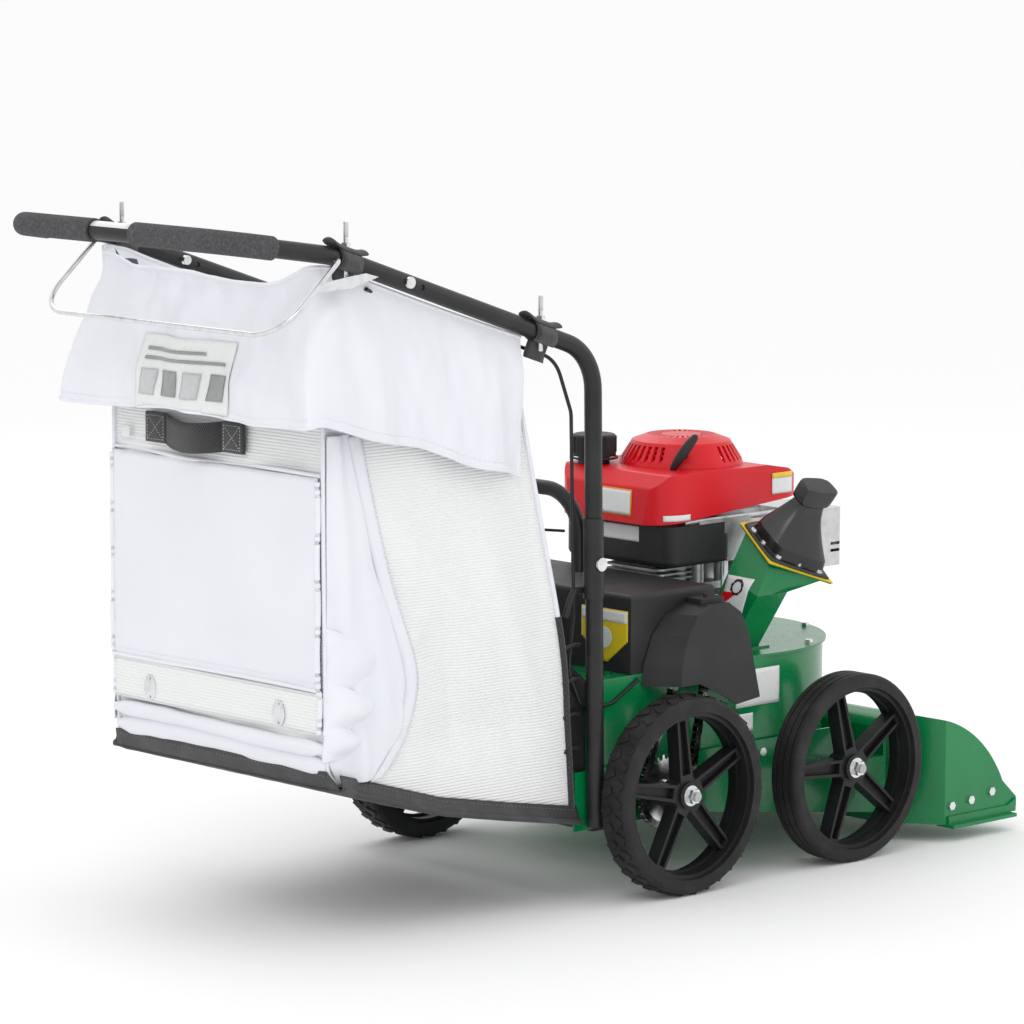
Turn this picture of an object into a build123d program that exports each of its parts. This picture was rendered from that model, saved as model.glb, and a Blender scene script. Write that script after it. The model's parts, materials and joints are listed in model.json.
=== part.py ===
from build123d import *
import math
import os

os.makedirs("parts", exist_ok=True)

# Walk-behind leaf and litter vacuum. Millimetres, +X forward to the nozzle, +Y to the left, +Z up.
# The design is drawn from the rear axle, with z = 0 on the ground, and moved forward by REAR_AXLE_X
# as it is written, which puts the origin under the middle of the machine's box.

# Running gear
WHEELBASE = 397.0
REAR_RADIUS = 165.0
FRONT_RADIUS = 160.0
TYRE_WIDTH = 59.0
TYRE_BEAD_RADIUS = 138.0
RIM_WINDOW_RADIUS = 131.0
TREAD_DEPTH = 3.0
WHEEL_Y = 316.0
HUB_RADIUS = 22.0
HUB_INNER_Y, HUB_OUTER_Y = 289.0, 334.7
AXLE_RADIUS = 7.94
AXLE_BORE = 8.0
AXLE_END_Y = 352.0
RAIL_INNER_Y, RAIL_OUTER_Y = 250.0, 254.0
RAIL_TOP = 215.0
PAN_REAR, PAN_FRONT = (60.0, 118.0), (560.0, 49.0)

# Blower
CRANK_X = 312.0
HOUSING_RADIUS = 245.0
HOUSING_Z = (180.0, 354.0)
SHEET = 3.0
DUCT_X, DUCT_Y = -150.0, (-245.0, -60.0)
PLATE_TOP = 358.0
INTAKE_RADIUS = 105.0
IMPELLER_RADIUS = 200.0
CRANK_RADIUS = 12.7

# Nozzle
HOOD_REAR_X, HOOD_STEP_X, HOOD_WIDE_X, LIP_X = 60.0, 560.0, 625.0, 812.0
HOOD_HALF, NOZZLE_HALF = 249.7, 335.0
HOOD_Z = (30.0, 148.0)

# Drive
CHAIN_PITCH = 12.7
CHAIN_Y = -275.0
WHEEL_TEETH, DRIVE_TEETH = 28, 14
OUTPUT_X, OUTPUT_Z = 69.0, 374.0
ROLLER_RADIUS = 4.1
BELT_Z = 406.0
ENGINE_PULLEY, INPUT_PULLEY = 30.0, 48.0

# Handle tubes
TUBE = 14.3
TUBE_WALL = 1.8
LEG_Y = 268.6
HANDLE_SLOPE = 0.335
JOINT_X, JOINT_Z = -522.0, 1015.6
CROSSBAR_X, CROSSBAR_Z = -921.0, 1111.0
GRIP_RADIUS = 18.5
BAIL_X, BAIL_Z = -722.0, 1076.0

# Bag
BAG_HALF = 250.0
CLOTH = 3.0
DOOR_Z = (345.0, 741.0)
DOOR_X = -717.0

HANDLE_REAR_X = CROSSBAR_X - GRIP_RADIUS
REAR_AXLE_X = -(HANDLE_REAR_X + LIP_X) / 2


def block(x, y, z):
    return Pos(sum(x) / 2, sum(y) / 2, sum(z) / 2) * Box(x[1] - x[0], y[1] - y[0], z[1] - z[0])


def upright(x, y, radius, z):
    return Pos(x, y, sum(z) / 2) * Cylinder(radius, z[1] - z[0])


def cross_rod(x, z, radius, y):
    return Pos(x, sum(y) / 2, z) * Rot(90, 0, 0) * Cylinder(radius, abs(y[1] - y[0]))


def side_plate(points, y):
    """A plate cut to an outline of (x, z) points, between two y values."""
    outline = make_face(Polyline(*[(x, min(y), z) for x, z in points], close=True))
    return extrude(outline, amount=abs(y[1] - y[0]), dir=(0, 1, 0))


def plan_plate(points, z):
    """A plate cut to a plan of (x, y) points, between two heights."""
    outline = make_face(Polyline(*[(x, y, z[0]) for x, y in points], close=True))
    return extrude(outline, amount=z[1] - z[0], dir=(0, 0, 1))


def bar(points, bends, radius):
    """A round bar along straight runs joined by bends."""
    path = Polyline(*points) if len(points) == 2 else FilletPolyline(*points, radius=bends)
    return sweep(Plane(origin=path @ 0, z_dir=path % 0) * Circle(radius), path=path)


def pipe(points, bends, radius, wall):
    return bar(points, bends, radius) - bar(points, bends, radius - wall)


def mirrored(shape):
    return mirror(shape, about=Plane.XZ)


def group(shapes):
    solids = []
    for shape in shapes:
        solids += list(shape.solids())
    return Compound(children=solids)


def write(name, shape):
    export_step(Pos(REAR_AXLE_X, 0, 0) * shape, f"parts/{name}.step")


# ---- wheels ----------------------------------------------------------------------------------

def tyre(radius, tread):
    """Rounded tyre about the Y axis at y = 0, with chevron lugs when it has a tread."""
    carcass_radius = radius - TREAD_DEPTH if tread else radius
    half = TYRE_WIDTH / 2
    section = Pos((TYRE_BEAD_RADIUS + carcass_radius) / 2, 0, 0) * Rectangle(
        carcass_radius - TYRE_BEAD_RADIUS, TYRE_WIDTH)
    shoulders = section.vertices().filter_by(lambda v: v.X > TYRE_BEAD_RADIUS + 1)
    section = fillet(shoulders, radius=9)
    carcass = revolve(section, axis=Axis.Y)
    if not tread:
        groove = Rot(90, 0, 0) * (Cylinder(radius + 1, 2.4) - Cylinder(radius - 2, 2.4))
        for y in (-14, 0, 14):
            carcass -= Pos(0, y, 0) * groove
        return carcass
    lugs = []
    count = 34
    lug_height = TREAD_DEPTH + 2
    for i in range(count):
        for side in (-1, 1):
            angle = 360 / count * (i + 0.25 * side)
            lug = Pos(0, side * 11.5, radius - lug_height / 2 - 0.25) * Rot(0, 0, side * 28)
            lugs.append(Rot(0, angle, 0) * lug * Box(13, 21, lug_height))
    band = Rot(90, 0, 0) * (Cylinder(radius, half * 2) - Cylinder(radius - 8, half * 2))
    return carcass.fuse(*[lug & band for lug in lugs])


def rim():
    """Five-spoked plastic wheel about the Y axis, hub from HUB_INNER_Y to HUB_OUTER_Y."""
    hub_mid = (HUB_INNER_Y + HUB_OUTER_Y) / 2 - WHEEL_Y
    hub_long = HUB_OUTER_Y - HUB_INNER_Y
    ring = Rot(90, 0, 0) * (Cylinder(TYRE_BEAD_RADIUS, 45) - Cylinder(RIM_WINDOW_RADIUS, 45))
    flange = Rot(90, 0, 0) * (Cylinder(TYRE_BEAD_RADIUS, 4) - Cylinder(RIM_WINDOW_RADIUS - 5, 4))
    hub = Pos(0, hub_mid, 0) * Rot(90, 0, 0) * Cylinder(HUB_RADIUS, hub_long)
    hub += Rot(90, 0, 0) * Cylinder(HUB_RADIUS + 8, 24)
    shape = ring + flange + hub
    for i in range(5):
        reach = RIM_WINDOW_RADIUS + 2
        outline = make_face(Polyline((-15, 0), (15, 0), (11, reach), (-11, reach), close=True))
        spoke = Rot(90, 0, 0) * extrude(outline, amount=13, both=True)
        recess = make_face(Polyline((-9, 34), (9, 34), (6.5, reach - 8), (-6.5, reach - 8), close=True))
        recess = Rot(90, 0, 0) * extrude(recess, amount=13, both=True)
        web = Rot(90, 0, 0) * Pos(0, reach / 2, 0) * Box(28, reach, 5)
        shape += Rot(0, 72 * i, 0) * (spoke - (recess - web))
    return shape - Rot(90, 0, 0) * Cylinder(AXLE_BORE, 80)


def sprocket(teeth, thickness):
    """Chain sprocket about the Y axis, its teeth left between roller seats."""
    pitch_radius = CHAIN_PITCH / (2 * math.sin(math.pi / teeth))
    disc = Rot(90, 0, 0) * Cylinder(pitch_radius + 4.3, thickness)
    seat = Pos(pitch_radius, 0, 0) * Rot(90, 0, 0) * Cylinder(ROLLER_RADIUS, thickness + 2)
    mouth = make_face(Polyline((pitch_radius, -4), (pitch_radius + 6, -5.8), (pitch_radius + 6, 5.8),
                               (pitch_radius, 4), close=True))
    seat += Rot(90, 0, 0) * extrude(mouth, amount=thickness / 2 + 1, both=True)
    seats = [Rot(0, 360 / teeth * i, 0) * seat for i in range(teeth)]
    return disc.cut(*seats), pitch_radius


rim_shape = rim()
rear_tyre, front_tyre = tyre(REAR_RADIUS, True), tyre(FRONT_RADIUS, False)
for side, sign in (("right", -1), ("left", 1)):
    turned = rim_shape if sign > 0 else mirrored(rim_shape)
    rear, front = Pos(0, sign * WHEEL_Y, REAR_RADIUS), Pos(WHEELBASE, sign * WHEEL_Y, FRONT_RADIUS)
    write(f"rear_rim_{side}", rear * Rot(0, -7, 0) * turned)
    write(f"front_rim_{side}", front * Rot(0, -15, 0) * turned)
    write(f"rear_tyre_{side}", rear * rear_tyre)
    write(f"front_tyre_{side}", front * front_tyre)

SPROCKET_THICKNESS = 7.2
wheel_sprocket, wheel_pitch = sprocket(WHEEL_TEETH, SPROCKET_THICKNESS)
wheel_sprocket += Pos(0, -(HUB_INNER_Y + CHAIN_Y) / 2, 0) * Rot(90, 0, 0) * Cylinder(18, HUB_INNER_Y + CHAIN_Y)
wheel_sprocket += Pos(0, 6.5, 0) * Rot(90, 0, 0) * Cylinder(18, 13)
wheel_sprocket -= Rot(90, 0, 0) * Cylinder(AXLE_BORE, 60)
write("wheel_sprocket", Pos(0, CHAIN_Y, REAR_RADIUS) * wheel_sprocket)

# ---- axles and rails -------------------------------------------------------------------------

rear_axle = cross_rod(0, REAR_RADIUS, AXLE_RADIUS, (-AXLE_END_Y, AXLE_END_Y))
stub = cross_rod(WHEELBASE, FRONT_RADIUS, AXLE_RADIUS, (RAIL_INNER_Y, AXLE_END_Y))
stub += cross_rod(WHEELBASE, FRONT_RADIUS, 12, (RAIL_INNER_Y - 5, RAIL_INNER_Y))
write("axles", group([rear_axle, stub, mirrored(stub)]))

fittings = []
for x, z in ((0, REAR_RADIUS), (WHEELBASE, FRONT_RADIUS)):
    bore = cross_rod(x, z, AXLE_RADIUS, (RAIL_OUTER_Y, AXLE_END_Y))
    washer = cross_rod(x, z, 17, (HUB_OUTER_Y + 0.3, HUB_OUTER_Y + 2.3)) - bore
    nut = Pos(x, HUB_OUTER_Y + 2.3, z) * Rot(-90, 0, 0) * extrude(RegularPolygon(13, 6), amount=10) - bore
    spacer = cross_rod(x, z, 12, (RAIL_OUTER_Y, HUB_INNER_Y - 0.4)) - bore
    short_spacer = cross_rod(x, z, 12, (RAIL_OUTER_Y, -CHAIN_Y - 13.5)) - bore
    right_spacer = short_spacer if x == 0 else spacer
    fittings += [washer, nut, spacer, mirrored(washer), mirrored(nut), mirrored(right_spacer)]
write("axle_fittings", group(fittings))

rail = side_plate([(-185, PAN_REAR[1]), PAN_REAR, (430, 67), (448, 78), (448, 190), (420, RAIL_TOP), (-185, RAIL_TOP)],
                  (RAIL_INNER_Y, RAIL_OUTER_Y))
rail -= cross_rod(0, REAR_RADIUS, AXLE_RADIUS, (RAIL_INNER_Y - 1, RAIL_OUTER_Y + 1))
rail -= cross_rod(WHEELBASE, FRONT_RADIUS, AXLE_RADIUS, (RAIL_INNER_Y - 1, RAIL_OUTER_Y + 1))
write("frame_rail_left", rail)
write("frame_rail_right", mirrored(rail))
cross_member = block((-140, -110), (-RAIL_INNER_Y, RAIL_INNER_Y), (112, 116))
cross_member += block((-114, -110), (-RAIL_INNER_Y, RAIL_INNER_Y), (116, 146))
write("cross_member", cross_member)

# ---- blower ----------------------------------------------------------------------------------

def volute(inset, z):
    """Round scroll with its straight outlet duct along the right side."""
    duct = block((DUCT_X - inset, CRANK_X), (DUCT_Y[0] + inset, DUCT_Y[1] - inset), z)
    return upright(CRANK_X, 0, HOUSING_RADIUS - inset, z) + duct


housing = volute(0, HOUSING_Z) - volute(SHEET, (HOUSING_Z[0] + SHEET, HOUSING_Z[1] + 1))
housing -= upright(CRANK_X, 0, INTAKE_RADIUS, (HOUSING_Z[0] - 1, HOUSING_Z[0] + SHEET + 1))
write("blower_housing", housing)

CHUTE_BASE_X, CHUTE_BASE_Y = (235.0, 310.0), (-187.0, -113.0)
top_plate = upright(CRANK_X, 0, 251, (HOUSING_Z[1], PLATE_TOP))
top_plate += block((DUCT_X, CRANK_X), (DUCT_Y[0] - 1, DUCT_Y[1] + 4), (HOUSING_Z[1], PLATE_TOP))
top_plate -= upright(CRANK_X, 0, 20, (HOUSING_Z[1] - 1, PLATE_TOP + 1))
chute_hole_x = (CHUTE_BASE_X[0] + SHEET, CHUTE_BASE_X[1] - SHEET)
chute_hole_y = (CHUTE_BASE_Y[0] + SHEET, CHUTE_BASE_Y[1] - SHEET)
top_plate -= block(chute_hole_x, chute_hole_y, (HOUSING_Z[1] - 1, PLATE_TOP + 1))
write("housing_top_plate", top_plate)

blades = []
for i in range(6):
    blade = block((0, IMPELLER_RADIUS - 30), (-2.5, 2.5), (200, 336))
    blade = Pos(CRANK_X, 0, 0) * Rot(0, 0, 60 * i) * Pos(25, 0, 0) * Rot(0, 0, -14) * blade
    blades.append(blade)
impeller = upright(CRANK_X, 0, IMPELLER_RADIUS, (336, 341)) + upright(CRANK_X, 0, 30, (240, 350))
impeller = impeller.fuse(*blades) - upright(CRANK_X, 0, CRANK_RADIUS, (190, 360))
write("impeller", impeller)

crankshaft = upright(CRANK_X, 0, CRANK_RADIUS, (236, 640))
crankshaft += upright(CRANK_X, 0, 22, (228, 236))
write("crankshaft", crankshaft)


# ---- nozzle ----------------------------------------------------------------------------------

def nozzle(inset):
    """Hood solid: a low chamber under the blower and a wide rounded head in front of it."""
    low = HOOD_Z[0] - (1 if inset else 0)
    chamber = side_plate([(HOOD_REAR_X + inset, PAN_REAR[1] + 1.05 * inset), (HOOD_REAR_X + inset, HOOD_Z[1] - inset),
                          (HOOD_STEP_X + 30, HOOD_Z[1] - inset), (HOOD_STEP_X + 30, PAN_FRONT[1] + inset),
                          (PAN_FRONT[0], PAN_FRONT[1] + 1.05 * inset)], (-HOOD_HALF + inset, HOOD_HALF - inset))
    front = LIP_X + (20 if inset else 0)
    lip = 56 - inset
    roof = Line((HOOD_STEP_X + inset, 0, low), (HOOD_STEP_X + inset, 0, 196 - inset))
    crown = ThreePointArc(roof @ 1, (HOOD_STEP_X + 12 + inset * 0.6, 0, 212 - inset),
                          (HOOD_STEP_X + 45, 0, 217 - inset))
    fall = ThreePointArc(crown @ 1, (704, 0, 174 - inset), (776 - inset * 0.4, 0, 88 - inset))
    tongue = Line(fall @ 1, (front, 0, lip if not inset else lip - 8))
    nose = Line(tongue @ 1, (front, 0, low))
    base = Line(nose @ 1, roof @ 0)
    head = extrude(make_face([roof, crown, fall, tongue, nose, base]), amount=400, both=True)
    narrow, wide = HOOD_HALF - inset, NOZZLE_HALF - inset
    plan = [(HOOD_STEP_X - 1, narrow), (HOOD_STEP_X + 6, narrow), (HOOD_WIDE_X, wide), (900, wide)]
    plan += [(x, -y) for x, y in reversed(plan)]
    return chamber + (head & plan_plate(plan, (0, 300)))


hood = nozzle(0) - nozzle(SHEET)
hood -= upright(CRANK_X, 0, INTAKE_RADIUS, (HOOD_Z[1] - SHEET - 1, HOOD_Z[1] + 1))
neck = upright(CRANK_X, 0, INTAKE_RADIUS + SHEET, (HOOD_Z[1] - SHEET, HOUSING_Z[0]))
hood += neck - upright(CRANK_X, 0, INTAKE_RADIUS, (HOOD_Z[1] - SHEET - 1, HOUSING_Z[0] + 1))
write("nozzle_hood", hood)

skid = side_plate([(632, 30), (790, 30), (808, 40), (808, 54), (786, 44), (632, 44)],
                  (NOZZLE_HALF, NOZZLE_HALF + 4))
foot = block((632, 798), (NOZZLE_HALF - 24, NOZZLE_HALF + 15), (24, 30))
skid += foot
write("nozzle_skids", group([skid, mirrored(skid)]))

bolts = []
for x, z in ((640, 62), (690, 66), (744, 74)):
    for sign in (-1, 1):
        head = Pos(x, sign * (NOZZLE_HALF + 2.5), z) * Rot(90, 0, 0) * extrude(
            RegularPolygon(8, 6), amount=2.5, both=True)
        bolts.append(head)
for i in range(8):
    angle = math.radians(45 * i + 22.5)
    x, y = CRANK_X + 236 * math.cos(angle), 236 * math.sin(angle)
    bolts.append(Pos(x, y, PLATE_TOP) * extrude(RegularPolygon(7.5, 6), amount=6))
for x in (-110, 130, 250):
    for sign in (-1, 1):
        head = Pos(x, sign * (RAIL_OUTER_Y + 3), 195) * Rot(90, 0, 0) * extrude(
            RegularPolygon(8, 6), amount=3, both=True)
        bolts.append(head)
write("case_bolts", group(bolts))

# ---- chipper ---------------------------------------------------------------------------------

FLANGE_TILT = math.radians(38)
FLANGE = [(x, y, 557 + math.tan(FLANGE_TILT) * (y + 172))
          for x, y in ((297, -172), (294, -231), (376, -276), (376, -172))]
BEND = [(257, -165, 484), (255, -237, 455), (328, -237, 455), (330, -165, 484)]
BASE = [(CHUTE_BASE_X[0], CHUTE_BASE_Y[1], PLATE_TOP), (CHUTE_BASE_X[0], CHUTE_BASE_Y[0], PLATE_TOP),
        (CHUTE_BASE_X[1], CHUTE_BASE_Y[0], PLATE_TOP), (CHUTE_BASE_X[1], CHUTE_BASE_Y[1], PLATE_TOP)]
FLANGE_AXIS = Vector(0, -math.sin(FLANGE_TILT), math.cos(FLANGE_TILT))


def ring_face(corners, grow=0.0, lift=0.0):
    """A flat polygon scaled about its centre by a set amount at each corner and lifted on its axis."""
    points = [Vector(*c) for c in corners]
    centre = sum(points, Vector(0, 0, 0)) / len(points)
    moved = [p + (p - centre).normalized() * grow + FLANGE_AXIS * lift for p in points]
    return Face(Wire.make_polygon(moved, close=True))


def tapered(sections, grow=0.0):
    shape = None
    for lower, upper in zip(sections, sections[1:]):
        step = loft([ring_face(lower, grow), ring_face(upper, grow)], ruled=True)
        shape = step if shape is None else shape + step
    return shape


chute_shell = tapered([BASE, BEND, FLANGE]) - tapered([BASE, BEND, FLANGE], -SHEET * 1.4)
base_flange = block((CHUTE_BASE_X[0] - 14, CHUTE_BASE_X[1] + 14), (CHUTE_BASE_Y[0] - 14, CHUTE_BASE_Y[1] + 14),
                    (PLATE_TOP, PLATE_TOP + 3))
base_flange -= block(chute_hole_x, chute_hole_y, (PLATE_TOP - 1, PLATE_TOP + 5))
flange_lip = extrude(ring_face(FLANGE, 14), amount=3, dir=FLANGE_AXIS)
flange_lip -= extrude(ring_face(FLANGE, -SHEET * 1.4, -2), amount=9, dir=FLANGE_AXIS)
chute_core = tapered([BASE, BEND, FLANGE], -SHEET * 1.4)
write("chipper_chute", chute_shell + (base_flange - chute_core) + flange_lip)


def lifted(corners, amount, grow=0.0):
    points = [Vector(*c) for c in corners]
    centre = sum(points, Vector(0, 0, 0)) / len(points)
    return [tuple(p + (p - centre).normalized() * grow + FLANGE_AXIS * amount) for p in points]


gasket = extrude(ring_face(FLANGE, 16, 3), amount=2, dir=FLANGE_AXIS)
gasket -= extrude(ring_face(FLANGE, -8, 1), amount=8, dir=FLANGE_AXIS)
write("chipper_gasket", gasket)

hopper_foot = lifted(FLANGE, 5, 12)
hopper_side = lifted(FLANGE, 34, 6)


def quad(centre, across, down):
    """Four corners of a flat four-sided section, in the order of FLANGE."""
    return [tuple(Vector(*centre) + Vector(*across) * i + Vector(*down) * j)
            for i, j in ((-1, -1), (-1, 1), (1, 1), (1, -1))]


NECK = quad((366, -250, 581), (29, -8, -6), (0, -21, -17))
HEAD = quad((372, -277, 622), (30, -7, -6), (2, -24, -18))
hopper_outer = tapered([hopper_foot, hopper_side, NECK, HEAD])
hopper_core = tapered([lifted(FLANGE, 4, 5), lifted(FLANGE, 34, 0)], -2)
hopper_core += tapered([lifted(FLANGE, 33, -2), NECK, lifted(HEAD, 6)], -5)
hopper_core += tapered([lifted(HEAD, -4), lifted(HEAD, 12)], -5)
write("chipper_hopper", hopper_outer - hopper_core)

# ---- drive -----------------------------------------------------------------------------------

gearbox = block((OUTPUT_X - 32, OUTPUT_X + 32), (-40, 40), (PLATE_TOP, 392))
gearbox += upright(OUTPUT_X, 0, 16, (392, 397))
gearbox -= upright(OUTPUT_X, 0, 8.05, (386, 398))
gearbox -= cross_rod(OUTPUT_X, OUTPUT_Z, 8.05, (-41, 30))
write("gearbox", gearbox)


def pulley(x, radius, shaft):
    """V-belt pulley on a vertical shaft: two flanges over a narrower groove floor."""
    shape = upright(x, 0, radius + 7, (BELT_Z - 7, BELT_Z - 4.6)) + upright(x, 0, radius + 7, (BELT_Z + 4.6, BELT_Z + 7))
    shape += upright(x, 0, radius - 3, (BELT_Z - 7, BELT_Z + 7))
    return shape - upright(x, 0, shaft, (BELT_Z - 8, BELT_Z + 8)) if shaft else shape


write("engine_pulley", pulley(CRANK_X, ENGINE_PULLEY, CRANK_RADIUS))
write("input_pulley", pulley(OUTPUT_X, INPUT_PULLEY, 0) + upright(OUTPUT_X, 0, 8, (387, BELT_Z)))


def loop_area(first, first_radius, second, second_radius):
    """The area inside a band stretched round two circles."""
    dx, dy = second[0] - first[0], second[1] - first[1]
    spread = math.acos((first_radius - second_radius) / math.hypot(dx, dy))
    heading = math.atan2(dy, dx)
    corners = []
    for sign in (1, -1):
        angle = heading + sign * spread
        touch = [(c[0] + r * math.cos(angle), c[1] + r * math.sin(angle))
                 for c, r in ((first, first_radius), (second, second_radius))]
        corners += touch if sign > 0 else reversed(touch)
    area = make_face(Polyline(*corners, close=True))
    area += Pos(*first) * Circle(first_radius)
    return area + Pos(*second) * Circle(second_radius)


belt = loop_area((CRANK_X, 0), ENGINE_PULLEY + 5, (OUTPUT_X, 0), INPUT_PULLEY + 5)
belt -= loop_area((CRANK_X, 0), ENGINE_PULLEY - 2, (OUTPUT_X, 0), INPUT_PULLEY - 2)
write("drive_belt", Pos(0, 0, BELT_Z - 4) * extrude(belt, amount=8))

drive_sprocket, drive_pitch = sprocket(DRIVE_TEETH, SPROCKET_THICKNESS)
drive_sprocket += Pos(0, 6, 0) * Rot(90, 0, 0) * Cylinder(17, 14)
drive_sprocket -= Rot(90, 0, 0) * Cylinder(8, 40)
write("drive_sprocket", Pos(OUTPUT_X, CHAIN_Y, OUTPUT_Z) * drive_sprocket)
write("output_shaft", cross_rod(OUTPUT_X, OUTPUT_Z, 8, (CHAIN_Y - 8, 28)))

wheel_centre, drive_centre = (0, REAR_RADIUS), (OUTPUT_X, OUTPUT_Z)
link_band = loop_area(wheel_centre, wheel_pitch + 5.6, drive_centre, drive_pitch + 5.6)
link_band -= loop_area(wheel_centre, wheel_pitch - 5.6, drive_centre, drive_pitch - 5.6)
plates = []
for offset in (-5.6, 4.2):
    plate = extrude(link_band, amount=1.4)
    plates.append(Pos(0, CHAIN_Y + offset + 1.4, 0) * Rot(90, 0, 0) * plate)
WHEEL_CLEAR, DRIVE_CLEAR = 35.0, 27.0
span = math.hypot(OUTPUT_X, OUTPUT_Z - REAR_RADIUS)
chain_heading = math.atan2(OUTPUT_Z - REAR_RADIUS, OUTPUT_X)
chain_spread = math.acos((wheel_pitch - drive_pitch) / span)
for sign in (1, -1):
    angle = chain_heading + sign * chain_spread
    start = Vector(wheel_pitch * math.cos(angle), 0, REAR_RADIUS + wheel_pitch * math.sin(angle))
    end = Vector(OUTPUT_X + drive_pitch * math.cos(angle), 0, OUTPUT_Z + drive_pitch * math.sin(angle))
    run = (end - start).length
    links = int((run - WHEEL_CLEAR - DRIVE_CLEAR) / CHAIN_PITCH) + 1
    first = WHEEL_CLEAR + (run - WHEEL_CLEAR - DRIVE_CLEAR - (links - 1) * CHAIN_PITCH) / 2
    for i in range(links):
        at = start + (end - start).normalized() * (first + i * CHAIN_PITCH)
        plates.append(cross_rod(at.X, at.Z, 3.9, (CHAIN_Y - 4.2, CHAIN_Y + 4.2)))
write("drive_chain", group(plates))

COVER_X, COVER_Y, COVER_Z = (-50.0, 146.0), (-244.0, 150.0), (PLATE_TOP + 0.3, 488.0)
cover = block(COVER_X, COVER_Y, COVER_Z)
cover = chamfer(cover.edges().filter_by(Axis.Z).group_by(Axis.X)[0].sort_by(Axis.Y)[-1], length=60)
cover = fillet(cover.faces().sort_by(Axis.Z)[-1].edges(), radius=8)
cover -= block((COVER_X[0] + 3, COVER_X[1] + 1), (COVER_Y[0] + 3, 85), (COVER_Z[0] - 1, COVER_Z[1] - 3))
cover -= block((COVER_X[0] + 64, COVER_X[1] + 1), (80, COVER_Y[1] - 3), (COVER_Z[0] - 1, COVER_Z[1] - 3))
cover -= cross_rod(OUTPUT_X, OUTPUT_Z, 22, (COVER_Y[0] - 1, COVER_Y[0] + 4))
cover -= block((OUTPUT_X - 22, OUTPUT_X + 22), (COVER_Y[0] - 1, COVER_Y[0] + 4), (COVER_Z[0] - 1, OUTPUT_Z))
write("belt_cover", cover)


def guard_body(inset):
    """Arched chain guard: flat outer face, its rear side sweeping inboard to the belt cover."""
    half_width, top, left = 96 - inset, 466 - inset, 2 + inset
    low = 250
    arch = [(left, low), (left + 12, 372), (left + 26, 420), (left + 48, 452), (left + 80, top),
            (left + 120, top), (left + 148, 448), (left + 168, 410), (left + 196 - 2 * inset, 300),
            (left + 200 - 2 * inset, low)]
    outer = Face(Wire.make_polygon([(x, -300 + inset, z) for x, z in arch], close=True))
    seam = []
    for x, z in arch:
        pull = max(0.0, (half_width - (x - left)) / half_width)
        seam.append((x - 42 * pull, -246.5, z))
    inner = Face(Wire.make_polygon(seam, close=True))
    return loft([outer, inner], ruled=True)


guard = guard_body(0) - guard_body(3)
cut_line = [(-100, 338), (55, 338), (100, 318), (142, 294), (210, 302), (260, 302), (260, 200), (-100, 200)]
guard -= side_plate(cut_line, (-310, -240))
bump = block((74, 128), (-285, -248), (460, 474))
bump = fillet(bump.edges().filter_by(Axis.Z), radius=6) + upright(101, -266, 4, (474, 480))
write("chain_guard", guard + (bump - guard_body(3)))

# ---- engine ----------------------------------------------------------------------------------

ENGINE_BASE = 425.0
engine = upright(CRANK_X, 0, 98, (ENGINE_BASE, ENGINE_BASE + 10))
for dx in (-78, 78):
    for dy in (-62, 62):
        engine += upright(CRANK_X + dx, dy, 10, (PLATE_TOP, ENGINE_BASE + 1))
engine += fillet(block((222, 428), (-86, 88), (ENGINE_BASE + 9, 498)).edges().filter_by(Axis.Z), radius=22)
engine += block((176, 262), (-70, 10), (ENGINE_BASE + 16, 494))
for i in range(7):
    fin = block((158, 262), (-100, 32), (ENGINE_BASE + 14 + 8.6 * i, ENGINE_BASE + 17 + 8.6 * i))
    engine += fillet(fin.edges().filter_by(Axis.Z), radius=14)
engine += fillet(block((316, 436), (-80, 80), (490, 575)).edges().filter_by(Axis.Z), radius=16)
engine -= upright(CRANK_X, 0, CRANK_RADIUS + 0.06, (PLATE_TOP, 700))
engine -= block((CRANK_X - 60, CRANK_X + 60), (-60, 60), (PLATE_TOP, ENGINE_BASE - 0.5))
write("engine_block", engine)

tank = fillet(block((152, 306), (-134, 124), (499, 568)).edges().filter_by(Axis.Z), radius=24)
tank = fillet(tank.faces().sort_by(Axis.Z)[0].edges(), radius=10)
FILLER_X, FILLER_Y = 190.0, 88.0
tank += upright(FILLER_X, FILLER_Y, 27, (560, 667))
tank -= upright(CRANK_X, 0, 20, (480, 600))
tank -= upright(FILLER_X, FILLER_Y, 21, (520, 668))
write("fuel_tank", tank)

cap = fillet(upright(FILLER_X, FILLER_Y, 37.7, (668, 705)).edges().sort_by(Axis.Z)[-1], radius=5)
for i in range(24):
    notch = Rot(0, 0, 15 * i) * Pos(38.4, 0, 0) * Cylinder(1.8, 60)
    cap -= Pos(FILLER_X, FILLER_Y, 700) * notch
write("fuel_cap", cap)

SHROUD_TOP = 655.0
side = [(132, 571), (482, 598), (486, 622), (440, 646), (388, SHROUD_TOP), (160, SHROUD_TOP), (136, 632)]
shroud = side_plate(side, (-132, 132))
shroud = fillet(shroud.edges().filter_by(Axis.Y).sort_by(Axis.Z)[2:], radius=8)
plan = fillet(Rectangle(356, 264).vertices(), radius=56)
shroud &= Pos(309, 0, 560) * extrude(plan, amount=120)
hollow = side_plate([(135, 560), (479, 560), (483, 620), (438, 643), (387, 651.5), (161, 651.5), (139, 630)], (-129, 129))
hollow_plan = fillet(Rectangle(350, 258).vertices(), radius=53)
hollow &= Pos(309, 0, 550) * extrude(hollow_plan, amount=130)
shroud -= hollow
shroud -= upright(CRANK_X, 0, 96, (640, 670))
shroud -= upright(FILLER_X, FILLER_Y, 28, (560, 670))
write("engine_shroud", shroud)

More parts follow.
